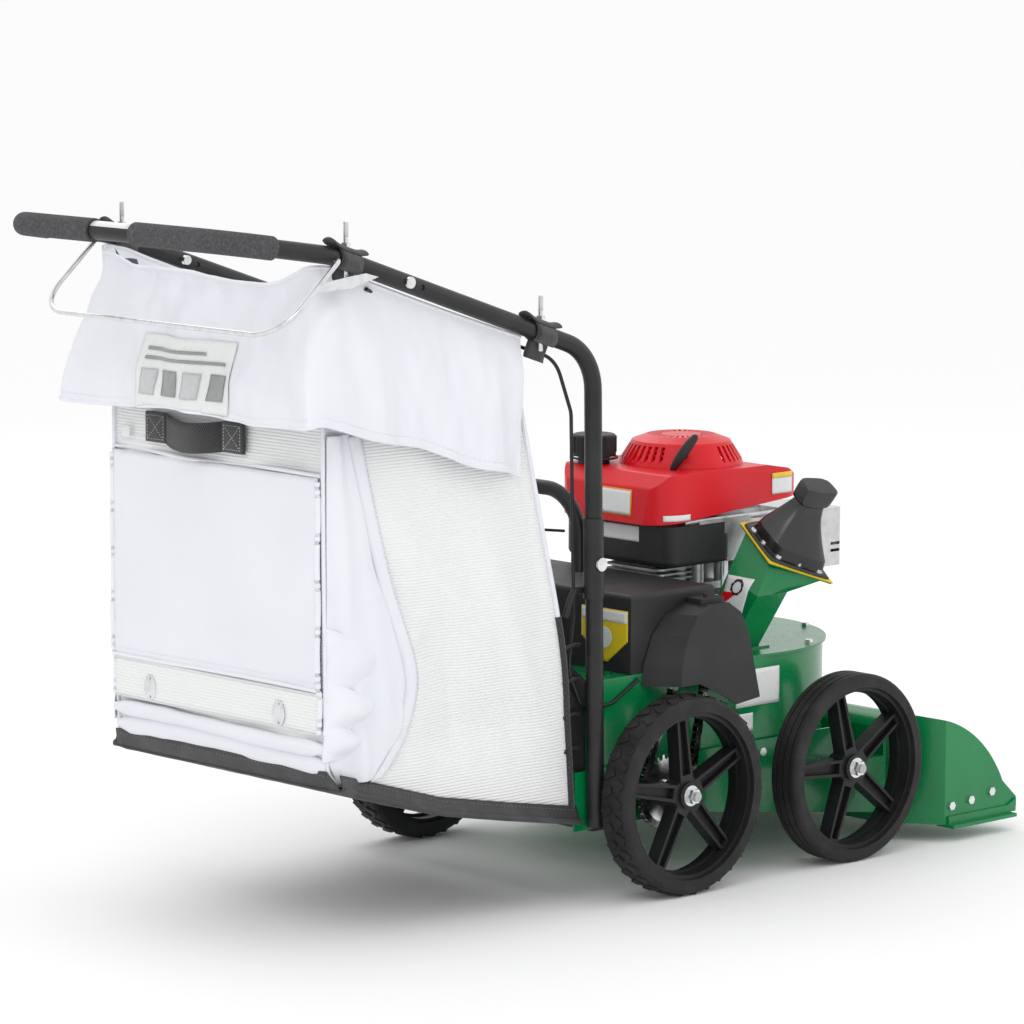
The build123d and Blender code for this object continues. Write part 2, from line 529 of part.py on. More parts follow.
RECOIL_BASE, RECOIL_TOP = SHROUD_TOP + 0.2, 703.0
profile = Polyline((0, RECOIL_BASE), (106, RECOIL_BASE), (103, 664), (84, 694), (60, RECOIL_TOP), (0, RECOIL_TOP), close=True)
inner = Polyline((0, RECOIL_BASE - 1), (97, RECOIL_BASE - 1), (97, 664), (80, 691), (59, RECOIL_TOP - 3),
                 (0, RECOIL_TOP - 3), close=True)
dome = revolve(Rot(90, 0, 0) * make_face(profile), axis=Axis.Z) - revolve(Rot(90, 0, 0) * make_face(inner), axis=Axis.Z)
slots = []
for i in range(30):
    slots.append(Rot(0, 0, 12 * i) * Pos(46, 0, RECOIL_TOP - 1) * Box(24, 3.6, 12))
for row, (radius, z) in enumerate(((101, 668), (96.5, 676), (91, 684.5))):
    for i in range(44):
        angle = 360 / 44 * i
        if 205 < angle < 262:
            continue
        slots.append(Rot(0, 0, angle) * Pos(radius - 2, 0, z) * Rot(0, 32, 0) * Box(16, 6.4, 5.4))
write("recoil_cover", Pos(CRANK_X, 0, 0) * dome.cut(*slots))

GRIP_AT = Vector(CRANK_X - 82, -88, 686)
PULL_AXIS = Vector(-0.62, -0.66, 0.42).normalized()
LEAN = Vector(0.45, -0.35, 0.82).normalized()
grip_bar = bar([tuple(GRIP_AT - LEAN * 33), tuple(GRIP_AT + LEAN * 33)], None, 8.5)
grip_bar = fillet(grip_bar.edges(), radius=5)
grip_neck = bar([tuple(GRIP_AT), tuple(GRIP_AT - PULL_AXIS * 17)], None, 6.5)
write("starter_grip", grip_bar + grip_neck)

shield = fillet(block((466, 560), (-150, -14), (470, 570)).edges().filter_by(Axis.Z), radius=14)
shield -= fillet(block((468, 558), (-148, -16), (472, 568)).edges().filter_by(Axis.Z), radius=12)
for z in (494, 506):
    shield -= block((555, 565), (-130, -96), (z, z + 5))
    shield -= block((528, 552), (-155, -145), (z, z + 5))
shield -= block((460, 470), (-100, -40), (490, 550))
write("muffler_shield", shield)
muffler = fillet(block((478, 548), (-138, -26), (480, 560)).edges().filter_by(Axis.X), radius=18)
muffler += Pos(452, -70, 520) * Rot(0, 90, 0) * Cylinder(14, 56)
write("muffler", muffler - block((400, 436.3), (-100, -30), (490, 550)))

carb = block((290, 350), (-132, -92), (500, 552)) + block((350, 392), (-126, -90), (506, 566))
carb += Pos(272, -112, 522) * Rot(0, 90, 0) * Cylinder(15, 44)
carb += Pos(254, -112, 522) * Rot(0, 90, 0) * Cylinder(21, 6)
carb += Pos(285, -112, 522) * Rot(0, 90, 0) * Cylinder(20, 6)
carb += block((222, 345), (-134, -131), (548, 573)) + upright(330, -116, 14, (470, 502))
carb += cross_rod(372, 530, 12, (-134, -124)) + upright(250, -100, 12, (446, 512)) + upright(300, -104, 9, (440, 502))
carb += block((240, 306), (-112, -88), (452, 464))
write("carburettor", carb - tank - engine)

# ---- handle ----------------------------------------------------------------------------------

def on_side(x, y=LEG_Y):
    """A point on the sloping part of the handle's centre line."""
    return x, y, JOINT_Z - HANDLE_SLOPE * (x - JOINT_X)


leg_path = [(-152, LEG_Y, 125), on_side(-165), on_side(JOINT_X)]
leg_solid = bar(leg_path, 85, TUBE)
leg = pipe(leg_path, 85, TUBE, TUBE_WALL)
leg += pipe([on_side(JOINT_X + 8), on_side(JOINT_X - 76)], None, TUBE - TUBE_WALL - 0.1, TUBE_WALL)
leg += pipe([on_side(JOINT_X + 8), on_side(JOINT_X)], None, TUBE - 0.5, TUBE_WALL + 1.5)
sleeve = upright(0, 0, TUBE + 2.5, (0, 130)) - upright(0, 0, TUBE, (0, 130))
sleeve_x = -152 - 13 * (565 - 125) / (on_side(-165)[2] - 125)
leg += Pos(sleeve_x, LEG_Y, 500) * Rot(0, -0.96, 0) * sleeve

handle_path = [on_side(JOINT_X), on_side(-717), (CROSSBAR_X, LEG_Y, CROSSBAR_Z),
               (CROSSBAR_X, -LEG_Y, CROSSBAR_Z), on_side(-717, -LEG_Y), on_side(JOINT_X, -LEG_Y)]
handle_bends = [260, 70, 70, 260]
handle = pipe(handle_path, handle_bends, TUBE, TUBE_WALL)
handle_solid = bar(handle_path, handle_bends, TUBE)

BRACE_X, BRACE_Y, BRACE_Z = -162.0, 237.0, 668.0
brace_path = [(BRACE_X + 2, -BRACE_Y, 540), (BRACE_X, -BRACE_Y, BRACE_Z), (BRACE_X, BRACE_Y, BRACE_Z),
              (BRACE_X + 2, BRACE_Y, 540)]
brace = pipe(brace_path, 75, 12, 1.6)

BOLT = 4.0
bolt_at, joint_at = (-160.0, 556.0), (-574.0, on_side(-574)[2])
leg_bolt = cross_rod(*bolt_at, BOLT, (BRACE_Y - 17, LEG_Y + TUBE + 3))
leg_bolt += cross_rod(*bolt_at, 11, (LEG_Y + TUBE + 2.5, LEG_Y + TUBE + 6))
joint_bolt = cross_rod(*joint_at, BOLT, (LEG_Y - TUBE - 9, LEG_Y + TUBE + 2))
joint_bolt += cross_rod(*joint_at, 9, (LEG_Y + TUBE + 1, LEG_Y + TUBE + 5))
joint_bolt += cross_rod(*joint_at, 7.5, (LEG_Y - TUBE - 9, LEG_Y - TUBE - 1))
leg_hole = cross_rod(*bolt_at, BOLT + 0.1, (200, 320))
joint_hole = cross_rod(*joint_at, BOLT + 0.1, (200, 320))
adjust_hole = cross_rod(JOINT_X - 24, on_side(JOINT_X - 24)[2], BOLT + 0.5, (200, 320))

STUD_X = (-691.0, -281.0)
stud_holes, studs, straps = [], [], []
for x in STUD_X:
    top = on_side(x)[2] + TUBE
    hole = upright(x, LEG_Y, BOLT + 0.1, (top - 60, top + 60))
    stud_holes.append(hole)
    stud = upright(x, LEG_Y, BOLT, (top - 3 * TUBE, top + 45))
    stud += Pos(x, LEG_Y, top + 7.5) * extrude(RegularPolygon(8, 6), amount=6)
    studs.append(stud)
    band = pipe([on_side(x - 20), on_side(x + 20)], None, TUBE + 3.2, 3)
    tail = side_plate([(x - 20, top - 34), (x + 20, top - 48), (x + 20, top - 108), (x - 20, top - 96)],
                      (LEG_Y - 17, LEG_Y - 14.5))
    straps.append((band + tail) - handle_solid - leg_solid - hole)
studs, straps = group(studs), group(straps)
write("bag_studs", group([studs, mirrored(studs)]))
write("bag_straps", group([straps, mirrored(straps)]))

pivot_hole = cross_rod(BAIL_X, BAIL_Z, BOLT + 0.1, (200, 320))
holes = stud_holes + [leg_hole, joint_hole]
leg = leg.cut(*holes)
write("leg_left", leg)
write("leg_right", mirrored(leg))
handle = handle.cut(*holes, adjust_hole, pivot_hole)
handle = handle.cut(*[mirrored(h) for h in holes], mirrored(adjust_hole), mirrored(pivot_hole))
write("upper_handle", handle)
write("cross_brace", brace.cut(leg_hole, mirrored(leg_hole)))

bolts = group([leg_bolt, joint_bolt])
write("handle_fittings", group([bolts, mirrored(bolts)]))

grip_path = [(CROSSBAR_X, 50, CROSSBAR_Z), (CROSSBAR_X, LEG_Y, CROSSBAR_Z)]
grip_end = Vector(*on_side(-717)) - Vector(CROSSBAR_X, LEG_Y, CROSSBAR_Z)
grip_path.append(tuple(Vector(CROSSBAR_X, LEG_Y, CROSSBAR_Z) + grip_end.normalized() * 82))
grip = bar(grip_path, 70, GRIP_RADIUS) - bar(handle_path, handle_bends, TUBE + 0.05)
write("grip_left", grip)
write("grip_right", mirrored(grip))

BAIL_BAR = (-845.0, 967.0)
BAIL_Y = 290.0
bail_half = [(BAIL_X, 262, BAIL_Z), (BAIL_X, BAIL_Y, BAIL_Z), (BAIL_BAR[0], BAIL_Y, BAIL_BAR[1])]
bail_path = [(x, -y, z) for x, y, z in bail_half] + bail_half[::-1]
bail = bar(bail_path, [7, 62, 62, 7], BOLT)
lever = side_plate([(-768, 1030), (-756, 1043), (-700, 1050), (-668, 1053), (-642, 1046), (-700, 1031)],
                   (-289, -286))
write("drive_bail", bail + lever)

cable_path = [(-644, -262, 1026), (-600, -243, 1010), (-330, -243, 922), (-226, -246, 888),
              (-192, -247.5, 800), (-184, -248, 470), (-196, -248.5, 380), (-160, -248.5, 312),
              (-95, -248.5, 318), (-36, -248.5, 350)]
cable_bends = [30, 120, 60, 40, 120, 60, 34, 30]
clutch_cable = bar(cable_path, cable_bends, 3.0)
throttle_path = [(-146, 251, 604), (-110, 240, 590), (20, 190, 558), (110, 140, 542), (150.5, 118, 538)]
write("control_cables", group([clutch_cable, bar(throttle_path, [20, 60, 60], 2.5)]))

# ---- bag -------------------------------------------------------------------------------------

BAG = {"top_rear": (-722, 1005), "top_front": (-328, 912), "waist": (-215, 430), "toe": (-188, 139),
       "sill": (-482, 196), "heel": (-690, 258), "rear": (-715, 296)}
outline = list(BAG.values())


def wall(start, end, y, thickness=CLOTH):
    """A panel of cloth between two (x, z) points, thickened towards the inside of the bag."""
    dx, dz = end[0] - start[0], end[1] - start[1]
    long = math.hypot(dx, dz)
    nx, nz = dz / long * thickness, -dx / long * thickness
    return side_plate([start, end, (end[0] + nx, end[1] + nz), (start[0] + nx, start[1] + nz)], y)


def between(start, end, share):
    return start[0] + (end[0] - start[0]) * share, start[1] + (end[1] - start[1]) * share


across = (-BAG_HALF + CLOTH, BAG_HALF - CLOTH)
side_panel = side_plate(outline, (BAG_HALF - CLOTH, BAG_HALF))
door_top = between(BAG["rear"], BAG["top_rear"], (DOOR_Z[1] - 12 - 296) / (1005 - 296))
door_low = between(BAG["rear"], BAG["top_rear"], (DOOR_Z[0] + 12 - 296) / (1005 - 296))
throat_top, throat_low = between(BAG["waist"], BAG["top_front"], 0.11), between(BAG["toe"], BAG["waist"], 0.08)
THROAT_LEFT_Y = 146.0
panels = [side_panel, mirrored(side_panel),
          wall(BAG["top_rear"], BAG["top_front"], across),
          wall(throat_low, (BAG["toe"][0], BAG["toe"][1] + 1.5), across),
          wall(BAG["toe"], BAG["sill"], across), wall(BAG["sill"], BAG["heel"], across),
          wall(BAG["heel"], BAG["rear"], across), wall(BAG["rear"], door_low, across),
          wall(door_top, BAG["top_rear"], across),
          wall(BAG["top_front"], throat_top, across)]
beside_throat = (THROAT_LEFT_Y, across[1])
panels += [wall(throat_top, BAG["waist"], beside_throat), wall(BAG["waist"], throat_low, beside_throat)]
write("bag_body", group(panels))

SOLE = 8.0
tail_end = (BAG["heel"][0] - 8, BAG["heel"][1] + 3)
sole_line = [BAG["toe"], BAG["sill"], BAG["heel"], tail_end]
sole = side_plate(sole_line + [(x, z - SOLE) for x, z in reversed(sole_line)], (-262, 262))
tip = side_plate([tail_end, (tail_end[0] - 24, tail_end[1] + 8), (tail_end[0] - 24, tail_end[1] + 8 - SOLE),
                  (tail_end[0], tail_end[1] - SOLE)], (-280, 280))
write("bag_base", sole + tip)

SKIRT = [(-318, 930), (-745, 1010), (-786, 832), (-322, 707)]
skirt_side = side_plate(SKIRT, (256, 260))
skirt_rear = wall((-786, 832), (-745, 1010), (-256, 256))
write("dust_skirt", group([skirt_side, mirrored(skirt_side), skirt_rear]))

door = block((DOOR_X - 8, DOOR_X - 3.5), (-248, 248), DOOR_Z)
BUTTON_Y, BUTTON_Z = 156.0, 366.0
button_pin = 5.0
for sign in (-1, 1):
    door -= Pos(DOOR_X - 5, sign * BUTTON_Y, BUTTON_Z) * Rot(0, 90, 0) * Cylinder(button_pin + 0.06, 12)
write("bag_door", door)
for side, sign in (("left", 1), ("right", -1)):
    pin = Pos(DOOR_X - 8, sign * BUTTON_Y, BUTTON_Z) * Rot(0, 90, 0) * Cylinder(button_pin, 13)
    pin += Pos(DOOR_X - 11, sign * BUTTON_Y, BUTTON_Z) * Box(4, 8, 26)
    write(f"turn_button_{side}", pin)

neck_front = [(-150.5, -242, 176), (-150.5, -56, 176), (-150.5, -56, 362), (-150.5, -242, 362)]
neck_back = [(-262, -234, 196), (-262, 138, 196), (-262, 138, 452), (-262, -234, 452)]


def neck(inset):
    faces = []
    for corners, slip in ((neck_front, 1), (neck_back, -1)):
        centre_y, centre_z = (corners[0][1] + corners[1][1]) / 2, (corners[0][2] + corners[2][2]) / 2
        moved = [(x + (slip if inset else 0), y - math.copysign(inset, y - centre_y), z - math.copysign(inset, z - centre_z))
                 for x, y, z in corners]
        faces.append(Face(Wire.make_polygon(moved, close=True)))
    return loft(faces, ruled=True)


write("discharge_chute", neck(0) - neck(3.5))
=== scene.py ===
"""Looks of a walk-behind leaf vacuum: cloth bag, tyres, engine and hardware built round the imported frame."""
import json
import math

import bmesh
import bpy
from mathutils import Matrix, Vector, noise


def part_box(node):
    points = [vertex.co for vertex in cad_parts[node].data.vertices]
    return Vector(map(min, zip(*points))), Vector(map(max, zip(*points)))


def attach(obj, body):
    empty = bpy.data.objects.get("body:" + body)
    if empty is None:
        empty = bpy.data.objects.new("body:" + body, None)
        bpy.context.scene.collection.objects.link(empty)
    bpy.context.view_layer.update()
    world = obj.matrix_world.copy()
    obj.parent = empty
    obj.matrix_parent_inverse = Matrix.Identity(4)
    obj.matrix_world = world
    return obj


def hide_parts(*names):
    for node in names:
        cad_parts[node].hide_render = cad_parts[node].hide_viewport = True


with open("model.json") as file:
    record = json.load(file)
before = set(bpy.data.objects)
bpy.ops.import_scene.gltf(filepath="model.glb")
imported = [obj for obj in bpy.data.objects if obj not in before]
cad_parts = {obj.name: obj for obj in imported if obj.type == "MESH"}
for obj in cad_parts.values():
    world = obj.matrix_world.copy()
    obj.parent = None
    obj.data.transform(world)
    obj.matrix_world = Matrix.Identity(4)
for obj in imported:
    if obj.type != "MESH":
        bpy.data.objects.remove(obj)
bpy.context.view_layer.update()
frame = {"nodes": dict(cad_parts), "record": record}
node = frame["nodes"]


# ---- places ----------------------------------------------------------------------------------

def middle(name):
    low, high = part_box(name)
    return (low + high) / 2


REAR_AXLE = middle("rear_tyre_right").x


def at(x, y, z):
    """A point measured in millimetres from the rear axle's middle, on the ground."""
    return Vector((x / 1000 + REAR_AXLE, y / 1000, z / 1000))


# ---- shader arithmetic -----------------------------------------------------------------------

class Signal:
    """A number or colour that varies over a surface; plain arithmetic adds Math nodes."""

    def __init__(self, finish, socket):
        self.finish, self.socket = finish, socket

    def math(self, operation, first, second=0.0):
        return self.finish.node("ShaderNodeMath", {"operation": operation}, {0: first, 1: second})

    def __add__(self, other):
        return self.math("ADD", self, other)

    def __mul__(self, other):
        return self.math("MULTIPLY", self, other)

    def sine(self):
        return self.math("SINE", self)

    __radd__, __rmul__ = __add__, __mul__


class Finish:
    """One material: constants set on the shader, variation linked to it."""

    def __init__(self, name, colour, roughness, metallic=0.0, **constants):
        self.material = bpy.data.materials.new(name)
        self.material.use_nodes = True
        self.tree = self.material.node_tree
        self.shader = self.tree.nodes["Principled BSDF"]
        self.colour = (*colour, 1.0)
        self.shader.inputs["Base Color"].default_value = self.colour
        self.shader.inputs["Roughness"].default_value = roughness
        self.shader.inputs["Metallic"].default_value = metallic
        for socket, value in constants.items():
            self.shader.inputs[socket.replace("_", " ")].default_value = value
        coordinates = self.tree.nodes.new("ShaderNodeTexCoord")
        self.place = Signal(self, coordinates.outputs["Object"])

    def node(self, kind, settings=None, inputs=None, out=0):
        made = self.tree.nodes.new(kind)
        for key, value in (settings or {}).items():
            if key == "stops":
                made.color_ramp.elements[0].position = value[0]
                made.color_ramp.elements[1].position = value[1]
            else:
                setattr(made, key, value)
        for key, value in (inputs or {}).items():
            if isinstance(value, Signal):
                self.tree.links.new(value.socket, made.inputs[key])
            else:
                made.inputs[key].default_value = value
        return Signal(self, made.outputs[out])

    def axis(self, letter):
        return self.node("ShaderNodeSeparateXYZ", None, {0: self.place}, "XYZ".index(letter))

    def grain(self, scale, detail=2.0, roughness=0.5):
        return self.node("ShaderNodeTexNoise", None,
                         {"Vector": self.place, "Scale": scale, "Detail": detail, "Roughness": roughness})

    def stretched(self, scale):
        """Noise drawn out along an axis, for brushed or streaky surfaces."""
        place = self.node("ShaderNodeMapping", None, {"Vector": self.place, "Scale": scale})
        return self.node("ShaderNodeTexNoise", None, {"Vector": place, "Scale": 1.0, "Detail": 3.0})

    def step(self, value, low, high):
        return self.node("ShaderNodeMapRange", None, {0: value, 1: low, 2: high})

    def tint(self, mask, colour):
        first = self.colour if not hasattr(self, "mixed") else self.mixed
        self.mixed = self.node("ShaderNodeMix", {"data_type": "RGBA"},
                               {0: mask, 6: first, 7: (*colour, 1.0)}, 2)
        self.link("Base Color", self.mixed)
        return self

    def link(self, socket, value):
        self.tree.links.new(value.socket, self.shader.inputs[socket])
        return self

    def relief(self, height, depth, strength=1.0):
        bump = self.node("ShaderNodeBump", None,
                         {"Height": height, "Distance": depth, "Strength": strength})
        return self.link("Normal", bump)


def gloss_paint(name, colour, deep):
    paint = Finish(name, colour, 0.24, 0.0, Coat_Weight=0.15, Coat_Roughness=0.06, Specular_IOR_Level=0.42)
    patch = paint.step(paint.grain(7.0), 0.35, 0.75)
    paint.tint(patch, deep)
    paint.link("Roughness", paint.grain(60.0) * 0.12 + 0.2)
    return paint.relief(paint.grain(240.0, 3.0), 0.0004, 0.25)


def satin_paint():
    paint = Finish("satin_black_paint", (0.014, 0.014, 0.015), 0.38, 0.0, Specular_IOR_Level=0.36)
    paint.tint(paint.step(paint.grain(14.0), 0.45, 0.8), (0.024, 0.024, 0.025))
    paint.link("Roughness", paint.grain(90.0) * 0.18 + 0.3)
    return paint.relief(paint.grain(700.0, 2.0), 0.0003, 0.3)


def moulded_plastic(name, colour, light, coarse):
    plastic = Finish(name, colour, 0.5, 0.0, Specular_IOR_Level=0.32)
    plastic.tint(plastic.step(plastic.grain(10.0), 0.4, 0.8), light)
    plastic.link("Roughness", plastic.grain(50.0) * 0.15 + 0.42)
    pits = plastic.node("ShaderNodeTexVoronoi", None, {"Vector": plastic.place, "Scale": coarse})
    return plastic.relief(pits, 0.0004, 0.35)


def red_shell():
    shell = Finish("engine_red", (0.66, 0.006, 0.014), 0.34, 0.0, Coat_Weight=0.08, Coat_Roughness=0.2,
                   Specular_IOR_Level=0.3)
    shell.tint(shell.step(shell.grain(9.0), 0.4, 0.8), (0.72, 0.010, 0.020))
    shell.link("Roughness", shell.grain(80.0) * 0.14 + 0.3)
    return shell.relief(shell.grain(520.0, 2.0), 0.0003, 0.3)


def cast_metal():
    metal = Finish("cast_aluminium", (0.58, 0.59, 0.60), 0.42, 0.9)
    metal.tint(metal.step(metal.grain(30.0, 4.0), 0.45, 0.7), (0.36, 0.37, 0.38))
    metal.link("Roughness", metal.grain(45.0, 4.0) * 0.35 + 0.25)
    return metal.relief(metal.grain(420.0, 4.0), 0.0006, 0.5)


def plated(name, colour, scale=(30, 300, 30)):
    metal = Finish(name, colour, 0.26, 1.0)
    metal.tint(metal.step(metal.grain(60.0), 0.4, 0.8), tuple(c * 0.8 for c in colour))
    metal.link("Roughness", metal.stretched(scale) * 0.22 + 0.14)
    return metal.relief(metal.stretched(scale), 0.0002, 0.3)


def glossy_moulding():
    """Blow-moulded black plastic with a wet shine and a faint flow grain."""
    skin = Finish("glossy_moulding", (0.012, 0.012, 0.013), 0.22, 0.0, Coat_Weight=0.3, Coat_Roughness=0.12)
    skin.tint(skin.step(skin.grain(16.0), 0.45, 0.8), (0.022, 0.022, 0.024))
    skin.link("Roughness", skin.grain(70.0, 3.0) * 0.16 + 0.16)
    return skin.relief(skin.grain(380.0, 3.0), 0.0004, 0.35)


def foam_sleeve():
    foam = Finish("foam_grip", (0.058, 0.058, 0.062), 0.95)
    cells = foam.node("ShaderNodeTexVoronoi", None, {"Vector": foam.place, "Scale": 620.0})
    foam.tint(foam.step(foam.grain(220.0, 3.0), 0.4, 0.75), (0.105, 0.105, 0.11))
    return foam.relief(cells, 0.0009, 0.6)


def tyre_rubber():
    rubber = Finish("tyre_rubber", (0.014, 0.014, 0.015), 0.62, 0.0, Specular_IOR_Level=0.3)
    rubber.tint(rubber.step(rubber.grain(26.0, 4.0), 0.45, 0.8), (0.030, 0.029, 0.028))
    rubber.link("Roughness", rubber.grain(90.0, 3.0) * 0.25 + 0.5)
    return rubber.relief(rubber.grain(520.0, 3.0), 0.0005, 0.45)


def ribbed_mesh():
    """Coated bag cloth with fine level ribs and a faint crossing thread."""
    cloth = Finish("bag_mesh", (0.90, 0.905, 0.905), 0.72, 0.0, Sheen_Weight=0.05)
    rib = (cloth.axis("Z") * 1250.0 + cloth.grain(4.0) * 3.0).sine()
    thread = ((cloth.axis("X") + cloth.axis("Y")) * 3100.0).sine()
    cloth.tint(cloth.step(rib, 0.2, 1.0) * 0.3, (0.74, 0.75, 0.76))
    cloth.link("Roughness", cloth.step(rib, -1.0, 1.0) * 0.15 + 0.62)
    return cloth.relief(rib * 0.8 + thread * 0.25 + cloth.grain(35.0, 3.0) * 1.5, 0.0008, 0.7)


def smooth_cloth():
    cloth = Finish("bag_cloth", (0.87, 0.885, 0.94), 0.78, 0.0, Sheen_Weight=0.05)
    weave = (cloth.axis("Z") * 5200.0).sine() * ((cloth.axis("X") + cloth.axis("Y")) * 5200.0).sine()
    cloth.tint(cloth.step(cloth.grain(6.0, 3.0), 0.4, 0.8), (0.91, 0.92, 0.965))
    return cloth.relief(weave * 0.5 + cloth.grain(60.0, 4.0) * 0.8, 0.0008, 0.5)


def webbing_tape():
    tape = Finish("black_webbing", (0.022, 0.022, 0.024), 0.8, 0.0, Sheen_Weight=0.3)
    ribs = ((cloth_run(tape)) * 2600.0).sine()
    tape.tint(tape.step(ribs, 0.0, 1.0) * 0.5, (0.05, 0.05, 0.053))
    return tape.relief(ribs, 0.0008, 0.7)


def cloth_run(tape):
    return tape.axis("X") + tape.axis("Y") + tape.axis("Z") * 0.35


def vinyl():
    skin = Finish("black_vinyl", (0.040, 0.040, 0.043), 0.55)
    skin.tint(skin.step(skin.grain(18.0, 4.0), 0.5, 0.8), (0.085, 0.085, 0.09))
    skin.link("Roughness", skin.grain(40.0, 4.0) * 0.3 + 0.4)
    return skin.relief(skin.grain(260.0, 4.0), 0.0012, 0.6)


def flat_print(name, colour, second):
    """Printed film: a slight mottle and a satin face."""
    film = Finish(name, colour, 0.35)
    film.tint(film.step(film.grain(160.0), 0.5, 0.7) * 0.5, second)
    return film.relief(film.grain(300.0), 0.0002, 0.2)


GREEN = gloss_paint("gloss_green_paint", (0.0, 0.218, 0.062), (0.0, 0.17, 0.048))
BLACK_PAINT = satin_paint()
BLACK_PLASTIC = moulded_plastic("moulded_black", (0.019, 0.019, 0.020), (0.031, 0.031, 0.033), 520.0)
WHEEL_PLASTIC = moulded_plastic("wheel_black", (0.010, 0.010, 0.011), (0.020, 0.020, 0.021), 700.0)
RED = red_shell()
CAST = cast_metal()
ZINC = plated("zinc_plate", (0.74, 0.75, 0.76))
STEEL = plated("machined_steel", (0.46, 0.46, 0.47))
SHIELD = plated("shield_sheet", (0.60, 0.60, 0.60), (200, 12, 12))
OILED = plated("oiled_chain", (0.16, 0.155, 0.15))
GLOSSY = glossy_moulding()
FOAM = foam_sleeve()
TYRE = tyre_rubber()
MESH_CLOTH = ribbed_mesh()
CLOTH = smooth_cloth()
WEBBING = webbing_tape()
VINYL = vinyl()
WHITE_FILM = flat_print("white_film", (0.78, 0.79, 0.79), (0.70, 0.71, 0.71))
YELLOW_FILM = flat_print("yellow_film", (0.82, 0.60, 0.02), (0.74, 0.52, 0.01))
ORANGE_FILM = flat_print("orange_film", (0.80, 0.26, 0.02), (0.70, 0.22, 0.02))
GREY_PRINT = flat_print("grey_print", (0.30, 0.31, 0.31), (0.4, 0.4, 0.4))
GASKET = flat_print("yellow_gasket", (0.80, 0.55, 0.02), (0.65, 0.42, 0.01))

SLOT_FINISH = {
    "green_paint": GREEN, "skid_green": GREEN, "black_paint": BLACK_PAINT, "zinc": ZINC,
               "tyre_rubber": TYRE,
    "wheel_plastic": WHEEL_PLASTIC, "foam": FOAM, "red_plastic": RED, "black_plastic": BLACK_PLASTIC,
    "cast_aluminium": CAST, "steel": STEEL, "shield_steel": SHIELD, "bag_mesh": MESH_CLOTH,
               "bag_cloth": CLOTH,
    "bag_vinyl": VINYL, "webbing": WEBBING, "yellow_gasket": GASKET, "belt_rubber": TYRE,
    "cable_black": BLACK_PAINT, "roller_chain": OILED,
}
for entry in frame["record"]["subparts"]:
    part = node[entry["node"]]
    part.data.materials.clear()
    part.data.materials.append(SLOT_FINISH[entry["material_slot"]].material)


# ---- piece making ----------------------------------------------------------------------------

def smooth(piece, degrees=35):
    piece.data.shade_smooth()
    piece.data.set_sharp_from_angle(angle=math.radians(degrees))


def piece(name, points, faces, finish, body, slot, stands_for=(), soften=35):
    """A new mesh object in the row frame that rides on a body."""
    mesh = bpy.data.meshes.new(name)
    mesh.from_pydata([tuple(p) for p in points], [], faces)
    mesh.materials.append(finish.material)
    made = bpy.data.objects.new(name, mesh)
    bpy.context.scene.collection.objects.link(made)
    builder = bmesh.new()
    builder.from_mesh(mesh)
    bmesh.ops.recalc_face_normals(builder, faces=builder.faces)
    builder.to_mesh(mesh)
    builder.free()
    smooth(made, soften)
    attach(made, body)
    if stands_for:
        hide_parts(*stands_for)
    return made


def modify(made, kind, **settings):
    """Adds a modifier and applies it at once."""
    modifier = made.modifiers.new(kind.lower(), kind)
    for key, value in settings.items():
        setattr(modifier, key, value)
    with bpy.context.temp_override(object=made, active_object=made, selected_objects=[made]):
        bpy.ops.object.modifier_apply(modifier=modifier.name)
    return made


def grid_faces(columns, rows, closed=False):
    wide = columns if closed else columns - 1
    return [(r * columns + c, r * columns + (c + 1) % columns, (r + 1) * columns + (c + 1) % columns,
             (r + 1) * columns + c) for r in range(rows - 1) for c in range(wide)]


def curve_points(points, steps=8):
    """A smooth line through a few points."""
    line = []
    count = len(points)
    for i in range(count - 1):
        before, start = points[max(i - 1, 0)], points[i]
        end, after = points[i + 1], points[min(i + 2, count - 1)]
        for k in range(steps):
            t = k / steps
            line.append(0.5 * ((2 * start) + (end - before) * t
                               + (2 * before - 5 * start + 4 * end - after) * t * t
                               + (3 * start - before - 3 * end + after) * t ** 3))
    return line + [points[-1]]


def tube(name, line, radius, finish, body, slot, sides=16, stands_for=(), flat=1.0):
    """A round or flattened tube along a line of points."""
    points, faces = [], []
    up = Vector((0, 0, 1))
    for i, p in enumerate(line):
        ahead = (line[min(i + 1, len(line) - 1)] - line[max(i - 1, 0)]).normalized()
        side = ahead.cross(up)
        side = side.normalized() if side.length > 0.05 else ahead.cross(Vector((0, 1, 0))).normalized()
        over = side.cross(ahead).normalized()
        r = radius(i / (len(line) - 1)) if callable(radius) else radius
        for k in range(sides):
            a = 2 * math.pi * k / sides
            points.append(p + side * r * math.cos(a) + over * r * flat * math.sin(a))
    faces = grid_faces(sides, len(line), True)
    faces += [tuple(range(sides))[::-1], tuple(range(len(points) - sides, len(points)))]
    return piece(name, points, faces, finish, body, slot, stands_for)


def plate(name, corners, thickness, finish, body, slot, bevel=0.0, stands_for=()):
    """A flat plate from its outline, thickened both ways and edge-rounded."""
    corners = [Vector(c) for c in corners]
    normal = (corners[1] - corners[0]).cross(corners[2] - corners[1]).normalized() * thickness / 2
    count = len(corners)
    points = [c + normal for c in corners] + [c - normal for c in corners]
    faces = [tuple(range(count)), tuple(range(2 * count - 1, count - 1, -1))]
    faces += [(i, (i + 1) % count, count + (i + 1) % count, count + i) for i in range(count)]
    made = piece(name, points, faces, finish, body, slot, stands_for)
    if bevel:
        modify(made, "BEVEL", width=bevel, segments=2)
        smooth(made)
    return made


def join(name, parts):
    """Several pieces made into one object, keeping the first one's body."""
    with bpy.context.temp_override(object=parts[0], active_object=parts[0], selected_objects=parts,
                                   selected_editable_objects=parts):
        bpy.ops.object.join()
    parts[0].name = name
    return parts[0]


